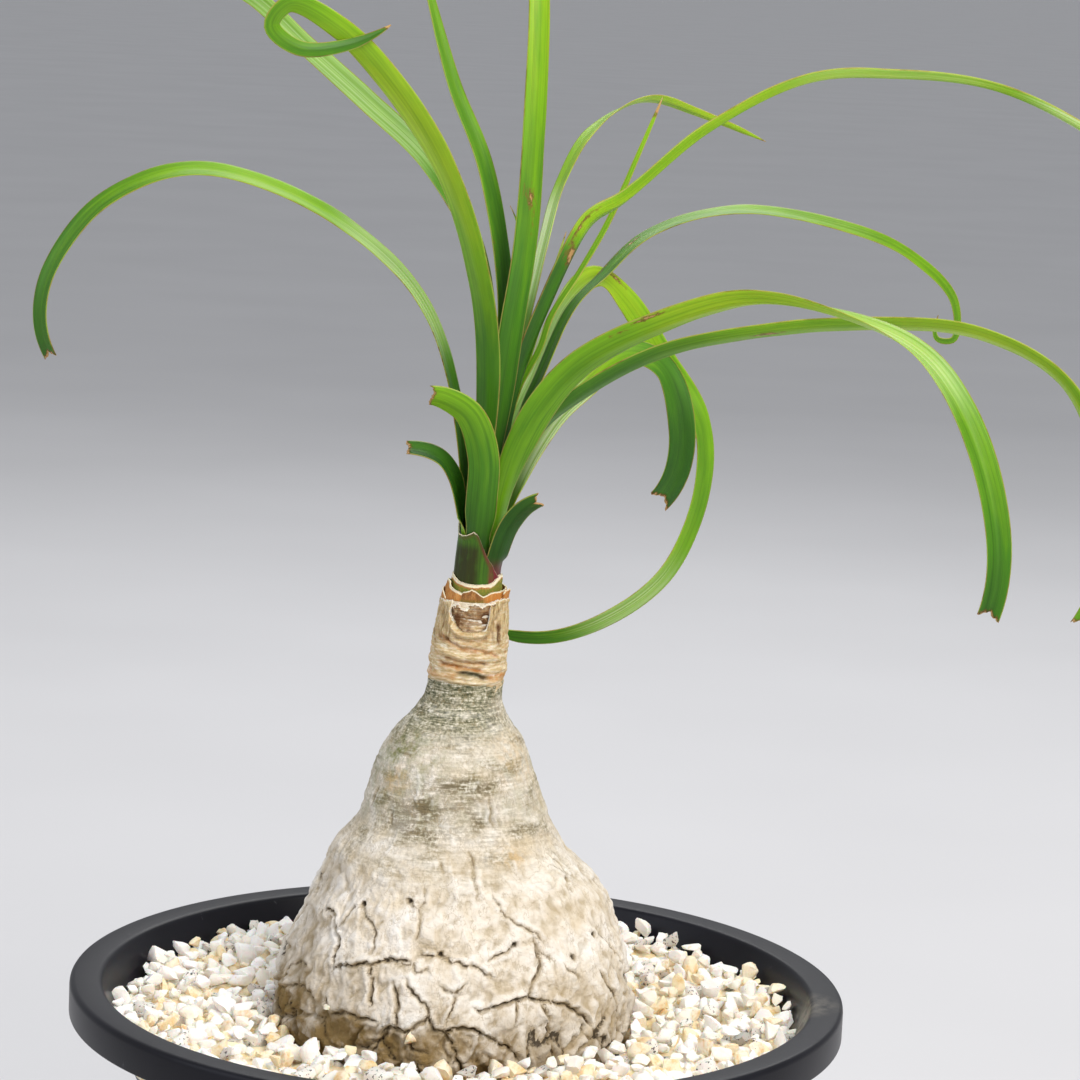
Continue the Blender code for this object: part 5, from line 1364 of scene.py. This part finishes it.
def makePot(material):
    pot, top = potShape, rimHeight
    wall, base = pot["wall"], pot["base"]
    (throat, throatDrop), (shoulder, shoulderDrop) = pot["throat"], pot["shoulder"]
    corners = [
        (0.05, pot["floor"], 0), (base - wall, pot["floor"], 3.5), (shoulder - wall, top - shoulderDrop, 6),
        (throat, top - throatDrop, 2.5), (pot["mouth"] - 0.1, top - 0.2, 1.3), (rimRadius, top, 1.7),
        (rimRadius, top - pot["rimDrop"], 0.5), (rimRadius - wall, top - pot["rimDrop"], 0.5),
        (rimRadius - wall - 0.2, top - pot["lip"], 1.5), (pot["mouth"] + 1.2, top - pot["lip"], 1.2),
        (throat + wall, top - throatDrop, 2.5), (shoulder, top - shoulderDrop, 6), (base, 0, 2.2),
        (0.05, 0, 0)]
    outline = roundedOutline(corners)
    # long straight stretches get points every 4 mm
    profile = []
    for start, end in zip(outline, outline[1:]):
        pieces = max(1, int(np.linalg.norm(end - start) / 4))
        profile += [start + (end - start) * k / pieces for k in range(pieces)]
    profile.append(outline[-1])
    turns = np.linspace(0, 2 * math.pi, pot["sides"], endpoint=False)
    r, z = np.array(profile).T[..., None]
    points = stacked(r * np.cos(turns), r * np.sin(turns), z)
    faces = tubeFaces(len(profile), pot["sides"])
    piece = meshPiece("plastic_pot", points, faces, material, ("pot",))
    cutters = bmesh.new()
    width, depth, inner, outer = pot["channel"]
    for k in range(pot["drains"]):
        turn = 2 * math.pi * (k + 0.5) / pot["drains"]
        spin = Matrix.Rotation(turn, 4, "Z")
        place = spin @ Matrix.Translation((pot["drainCircle"] * mm, 0, pot["floor"] / 2 * mm))
        bmesh.ops.create_cone(cutters, cap_ends=True, segments=40, radius1=pot["drainRadius"] * mm,
                              radius2=pot["drainRadius"] * mm, depth=(pot["floor"] + 4) * mm, matrix=place)
        size = Matrix.Diagonal(((outer - inner) * mm, width * mm, 2 * depth * mm, 1))
        place = spin @ Matrix.Translation(((inner + outer) / 2 * mm, 0, 0))
        bmesh.ops.create_cube(cutters, size=1, matrix=place @ size)
    mesh = bpy.data.meshes.new("drainHoles")
    cutters.to_mesh(mesh)
    cutters.free()
    cutter = bpy.data.objects.new("drainHoles", mesh)
    bpy.context.scene.collection.objects.link(cutter)
    carve = piece.modifiers.new("drains", "BOOLEAN")
    carve.operation, carve.object, carve.use_self = "DIFFERENCE", cutter, True
    carved = bpy.data.meshes.new_from_object(piece.evaluated_get(bpy.context.evaluated_depsgraph_get()))
    piece.modifiers.clear()
    piece.data = carved
    carved.shade_smooth()
    carved.set_sharp_from_angle(angle=math.radians(35))
    bpy.data.objects.remove(cutter)


makePot(potMaterial())
print("pot")


# Crushed quartz on the potting mix
gritShape = {
    "sizes": (3.2, 6.6),      # across, smallest and largest
    "layers": ((900, 5.6, 6), (1000, 2.8, 10), (520, 1.4, 16)),   # stones, mm down, places tried for each
    "bedDrop": 3.4,           # how far the filling under the stones lies below their tops
    "bedGrid": (160, 14),     # points round and rings
    "bedLevel": -9.0,         # over the rim, where it meets the stem
    "bedUnder": 19.7,         # its under side below the rim
    "furthest": 94,           # from the pot's middle
    "wallGap": 0.3,
    "packing": 0.8,           # stones touch where they are this share of both radii apart
    # stones caught in the bark: degrees, height over the rim, radius, how far out
    "lodged": ((227, 2.5, 1.6, 0.2), (258, -1.5, 1.9, 0.1)),
    "kinds": (("white_grit", 0.69), ("stained_grit", 0.2), ("dark_grit", 0.11)),
}


def quartzMaterial(name, stain, mica, clear, *stops):
    # Crushed vein quartz: milky and slightly see-through, IOR 1.54, broken faces that are matt from
    # dust with glassy patches. Iron stains it ochre and flakes of black mica lie in it.
    material, tree, shader = newMaterial(name, IOR=1.54, Subsurface_Weight=0.25, Subsurface_Scale=0.0018)
    place = inMillimetres(tree)
    even = (1, 1, 1)
    noises = speckles(tree, place, {"cloud": (2.4, 3, even), "stain": (2.8, 3, even), "mica": (0.9, 2, even),
                                    "grain": (0.6, 5, even), "glass": (2.0, 1, even)})
    base = colourRamp(tree, layerValue(tree, "stoneTone"), *stops)
    cloudy = colourRamp(tree, noises["cloud"], (0.35, "F3ECDF"), (0.65, "FFFFFF"))
    base = addNode(tree, "Mix", {"Factor": 0.35, "A": base, "B": cloudy}, data_type="RGBA",
                   blend_type="MULTIPLY")
    colour = layColours(tree, base, ((noises["stain"], 0.6 - stain, 0.78 - stain, 0.7, "E0B45C"),
                                     (noises["mica"], 0.76 - mica, 0.79 - mica, 0.92, "26262A")))
    plugIn(tree, shader, colour, noises["grain"], 0.6, 0.0005,
           Roughness=rescale(tree, noises["glass"], 0.4, 0.6, clear, 0.7))
    return material


def stoneForms(draw, count, cuts):
    # crushed stones: the space between a dozen random planes, the faces then roughened and the
    # edges worn a little
    forms = []
    for _ in range(count):
        normals = np.array([[draw.gauss(0, 1) for _ in range(3)] for _ in range(draw.randint(8, 11))])
        normals /= np.linalg.norm(normals, axis=1)[:, None]
        offsets = np.array([draw.uniform(0.42, 0.78) for _ in normals])
        normals = np.concatenate([normals, np.eye(3), -np.eye(3)])
        offsets = np.concatenate([offsets, np.full(6, 0.95)])
        trios = np.array(list(itertools.combinations(range(len(normals)), 3)))
        trios = trios[np.abs(np.linalg.det(normals[trios])) > 0.02]
        corners = np.linalg.solve(normals[trios], offsets[trios][..., None])[..., 0]
        corners = corners[(corners @ normals.T < offsets + 1e-6).all(axis=1)]
        stone = bmesh.new()
        for corner in corners:
            stone.verts.new(corner)
        bmesh.ops.convex_hull(stone, input=stone.verts[:])
        bmesh.ops.remove_doubles(stone, verts=stone.verts[:], dist=0.07)
        bmesh.ops.triangulate(stone, faces=stone.faces[:])
        bmesh.ops.subdivide_edges(stone, edges=stone.edges[:], cuts=cuts, use_grid_fill=True)
        bmesh.ops.smooth_vert(stone, verts=stone.verts[:], factor=0.5, use_axis_x=True, use_axis_y=True,
                              use_axis_z=True)
        bmesh.ops.triangulate(stone, faces=stone.faces[:])
        stone.verts.index_update()
        points = np.array([vertex.co[:] for vertex in stone.verts])
        faces = np.array([[vertex.index for vertex in face.verts] for face in stone.faces])
        stone.free()
        seed = draw.random() * 9
        rough = 0.16 * softNoise(points, 0.6, 2, seed) + 0.07 * softNoise(points, 0.22, 2, seed)
        points *= 1 + rough[:, None]
        points *= (draw.uniform(0.85, 1.2), draw.uniform(0.75, 1.05), draw.uniform(0.62, 0.92))
        forms.append((points / np.abs(points).max(), faces))
    return forms


def gritTop():
    # a function that gives the height of the CAD grit's top, or None beside it
    tree = nodeTree("grit_bed")

    def topAt(x, y):
        spot = tree.ray_cast(Vector((x, y, rimHeight + 30)), Vector((0, 0, -1)))[0]
        return spot.z if spot else None

    return topAt


def potMouth(z):
    # radius of the pot's inside at a height
    pot = potShape
    (throat, throatDrop), (shoulder, shoulderDrop) = pot["throat"], pot["shoulder"]
    heights = (pot["floor"], rimHeight - shoulderDrop, rimHeight - throatDrop, rimHeight)
    radii = (pot["base"] - pot["wall"], shoulder - pot["wall"], throat, pot["mouth"])
    return float(np.interp(z, heights, radii))


def makeGrit(skin):
    draw = random.Random(21)
    topAt = gritTop()
    spots = stemSpots(skin, skin["reach"])
    stem = BVHTree.FromPolygons(spots.reshape(-1, 3).tolist(),
                                gridFaces(*spots.shape[:2], wrapColumns=True).tolist())
    low, high = gritShape["sizes"]
    cell, grid, stones = high, {}, []

    def neighbours(x, y):
        i, j = int(x // cell), int(y // cell)
        return [stone for a in (-1, 0, 1) for b in (-1, 0, 1) for stone in grid.get((i + a, j + b), ())]

    for count, drop, tries in gritShape["layers"]:
        for _ in range(count):
            radius = (low + (high - low) * draw.random() ** 1.5) / 2
            best = None
            for _ in range(tries):
                turn = draw.uniform(0, 2 * math.pi)
                out = math.sqrt(draw.uniform(0.19, 1.0)) * gritShape["furthest"]
                x, y = out * math.cos(turn), out * math.sin(turn)
                ground = topAt(x, y)
                if ground is None:
                    continue
                if out > potMouth(ground) - gritShape["wallGap"] - radius * 0.72:
                    continue
                z = ground - drop - 0.3 * radius
                for ox, oy, oz, other in neighbours(x, y):
                    apart = math.hypot(ox - x, oy - y)
                    touch = (radius + other) * gritShape["packing"]
                    if apart < touch:
                        z = max(z, oz + math.sqrt(touch * touch - apart * apart) * 0.85)
                near = stem.find_nearest(Vector((x, y, z)))[3]
                if near < radius * 0.62 or z + radius * 0.6 > ground + 2.4:
                    continue
                if best is None or z - ground < best[2] - best[4]:
                    best = (x, y, z, radius, ground)
            if best:
                x, y, z, radius, ground = best
                grid.setdefault((int(x // cell), int(y // cell)), []).append((x, y, z, radius))
                stones.append((x, y, z, radius, z + radius * 0.7 > ground - 2.6, None))
    for degrees, height, radius, out in gritShape["lodged"]:
        x, y, z = stemSpotAt(skin, degrees, height)
        x, y = x + out * math.cos(math.radians(degrees)), y + out * math.sin(math.radians(degrees))
        stones.append((x, y, z, radius, True, "stained_grit"))
    print("stones", len(stones), "on top", sum(stone[4] for stone in stones))

    finishes = {
        "white_grit": quartzMaterial("milkyQuartz", -0.02, 0.03, 0.45,
                                     (0.0, "FFFFFF"), (0.5, "FFFDF9"), (1.0, "FCF6EA")),
        "stained_grit": quartzMaterial("ironStainedQuartz", 0.11, 0.03, 0.45,
                                       (0.0, "FDF6E6"), (0.5, "F8E8C2"), (1.0, "FCF3DF")),
        "dark_grit": quartzMaterial("micaQuartz", -0.04, 0.16, 0.4,
                                    (0.0, "F8F6F0"), (0.6, "E4E1DA"), (1.0, "A9A7A2")),
    }
    coarse, fine = stoneForms(draw, 24, 0), stoneForms(draw, 48, 1)
    heaps = {name: ([], [], []) for name in finishes}
    names, shares = zip(*gritShape["kinds"])
    for x, y, z, radius, shown, kind in stones:
        forms = fine if shown else coarse
        form, faces = forms[draw.randrange(len(forms))]
        spin = Matrix.Rotation(draw.uniform(0, 6.28), 3, "Z") @ Matrix.Rotation(draw.gauss(0, 0.5), 3, "X")
        points = form @ np.array(spin).T * radius * 1.06 + (x, y, z)
        heap = heaps[kind or draw.choices(names, shares)[0]]
        start = sum(len(p) for p in heap[0])
        heap[0].append(points)
        heap[1].append(faces + start)
        heap[2].append(np.full(len(points), draw.random()))
    for name, (points, faces, tones) in heaps.items():
        meshPiece(name, np.concatenate(points), np.concatenate(faces), finishes[name], ("grit_bed",),
                  {"stoneTone": np.concatenate(tones)}, sharp=42)
    return finishes["stained_grit"]


def makeGritBed(material, skin):
    # the filling that shows only between the stones
    topAt = gritTop()
    (sides, rings), level = gritShape["bedGrid"], gritShape["bedLevel"]
    turns = np.linspace(0, 2 * math.pi, sides, endpoint=False)
    under = rimHeight - gritShape["bedUnder"]
    points = []
    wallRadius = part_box("grit_bed")[1].x / mm - 0.2
    x, y = stemAxis(level)
    inner = [stemReachAt(skin, math.degrees(t), level) + 0.4 for t in turns]
    walls = [(x + r * math.cos(t), y + r * math.sin(t)) for r, t in zip(inner, turns)]
    for share in np.linspace(0, 1, rings):
        for (ix, iy), t in zip(walls, turns):
            ox, oy = wallRadius * math.cos(t), wallRadius * math.sin(t)
            px, py = ix + (ox - ix) * share, iy + (oy - iy) * share
            ground = topAt(px * 0.985, py * 0.985) or rimHeight - 10
            lump = 0.9 * noise.noise(Vector((px, py, 0)) / 3.5)
            points.append((px, py, ground - gritShape["bedDrop"] + lump))
    points += [(wallRadius * 0.985 * math.cos(t), wallRadius * 0.985 * math.sin(t), under) for t in turns]
    points += [(px, py, under) for px, py in walls]
    faces = gridFaces(rings + 2, sides, wrapColumns=True, wrapRows=True)
    meshPiece("grit_filling", points, faces, material, ("grit_bed",),
              {"stoneTone": np.full(len(points), 0.6)})


sandy = makeGrit(stemSkin)
makeGritBed(sandy, stemSkin)
print("grit")


# Potting mix, kept from the CAD and dressed
def mixMaterial():
    # Potting mix of bark, peat and pumice: rough and dark brown, IOR 1.5, with crumbs of 1 to 4 mm
    # and pale pumice grains.
    material, tree, shader = newMaterial("barkPeatMix", Roughness=0.95, IOR=1.5, Specular_IOR_Level=0.2)
    noises = speckles(tree, inMillimetres(tree), {"crumb": (3, 5, (1, 1, 1)), "pumice": (2.2, 1, (1, 1, 1))})
    base = colourRamp(tree, noises["crumb"], (0.35, "1C130D"), (0.55, "3A2819"), (0.7, "5A422B"))
    colour = layColours(tree, base, ((noises["pumice"], 0.68, 0.72, 0.9, "B8AE9C"),))
    plugIn(tree, shader, colour, noises["crumb"], 0.9, 0.0015)
    return material


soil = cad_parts["potting_mix"]
soil.data.materials.clear()
soil.data.materials.append(mixMaterial())
print("mix")


# Pale floor, soft studio light and the camera
studio = {
    "floorSize": 400.0,      # metres
    "floorColours": ((0.3, "D4D4D6"), (0.7, "D8D8DA")),
    "world": 0.5,
    "lights": (   # name, place in metres, watts, size in metres, colour
        ("keyPanel", (0.75, -1.05, 1.35), 28.0, 0.9, "FFFAF4"),
        ("fillPanel", (-1.3, -0.6, 0.9), 7.0, 1.2, "EEF3FF"),
        ("backPanel", (0.2, 1.2, 1.3), 9.0, 1.0, "FFFFFF")),
    "camera": (0.0, -0.9497, 0.4067),
    "pitch": 9.22, "yaw": 1.03, "roll": 2.56,   # degrees down, right and about the view
    "lens": 120.0,
}


def makeStudio():
    half = studio["floorSize"] / 2
    mesh = bpy.data.meshes.new("floor")
    corners = [(-half, -half, 0), (half, -half, 0), (half, half, 0), (-half, half, 0)]
    mesh.from_pydata(corners, [], [(0, 1, 2, 3)])
    floor = bpy.data.objects.new("floor", mesh)
    bpy.context.scene.collection.objects.link(floor)
    material, tree, shader = newMaterial("paintedFloor", Roughness=0.9, Specular_IOR_Level=0.2)
    grain = addNode(tree, "TexNoise", {"Vector": addNode(tree, "TexCoord", give="Object"), "Scale": 4.0})
    tree.links.new(colourRamp(tree, grain, *studio["floorColours"]), shader.inputs["Base Color"])
    mesh.materials.append(material)

    world = bpy.data.worlds.new("studio")
    bpy.context.scene.world = world
    world.use_nodes = True
    sky = world.node_tree.nodes["Background"]
    sky.inputs["Color"].default_value = hexColour("F2F4F8")
    sky.inputs["Strength"].default_value = studio["world"]

    aim = Vector((0, 0, 0.2))
    for name, place, power, size, colour in studio["lights"]:
        lamp = bpy.data.lights.new(name, "AREA")
        lamp.energy, lamp.size, lamp.color = power, size, hexColour(colour)[:3]
        light = bpy.data.objects.new(name, lamp)
        light.location = place
        light.rotation_euler = (aim - Vector(place)).to_track_quat("-Z", "Y").to_euler()
        bpy.context.scene.collection.objects.link(light)

    pitch, yaw, roll = (math.radians(studio[key]) for key in ("pitch", "yaw", "roll"))
    forward = Vector((math.sin(yaw) * math.cos(pitch), math.cos(yaw) * math.cos(pitch), -math.sin(pitch)))
    level = forward.cross(Vector((0, 0, 1))).normalized()
    upright = level.cross(forward)
    right = level * math.cos(roll) + upright * math.sin(roll)
    up = upright * math.cos(roll) - level * math.sin(roll)
    camera = bpy.data.objects.new("camera", bpy.data.cameras.new("camera"))
    camera.matrix_world = Matrix((right, up, -forward)).transposed().to_4x4()
    camera.location = studio["camera"]
    camera.data.lens = studio["lens"]
    camera.data.sensor_width = 36.0
    camera.data.clip_end = 1000.0
    bpy.context.scene.collection.objects.link(camera)
    bpy.context.scene.camera = camera
    bpy.context.scene.view_settings.view_transform = "Standard"


makeStudio()
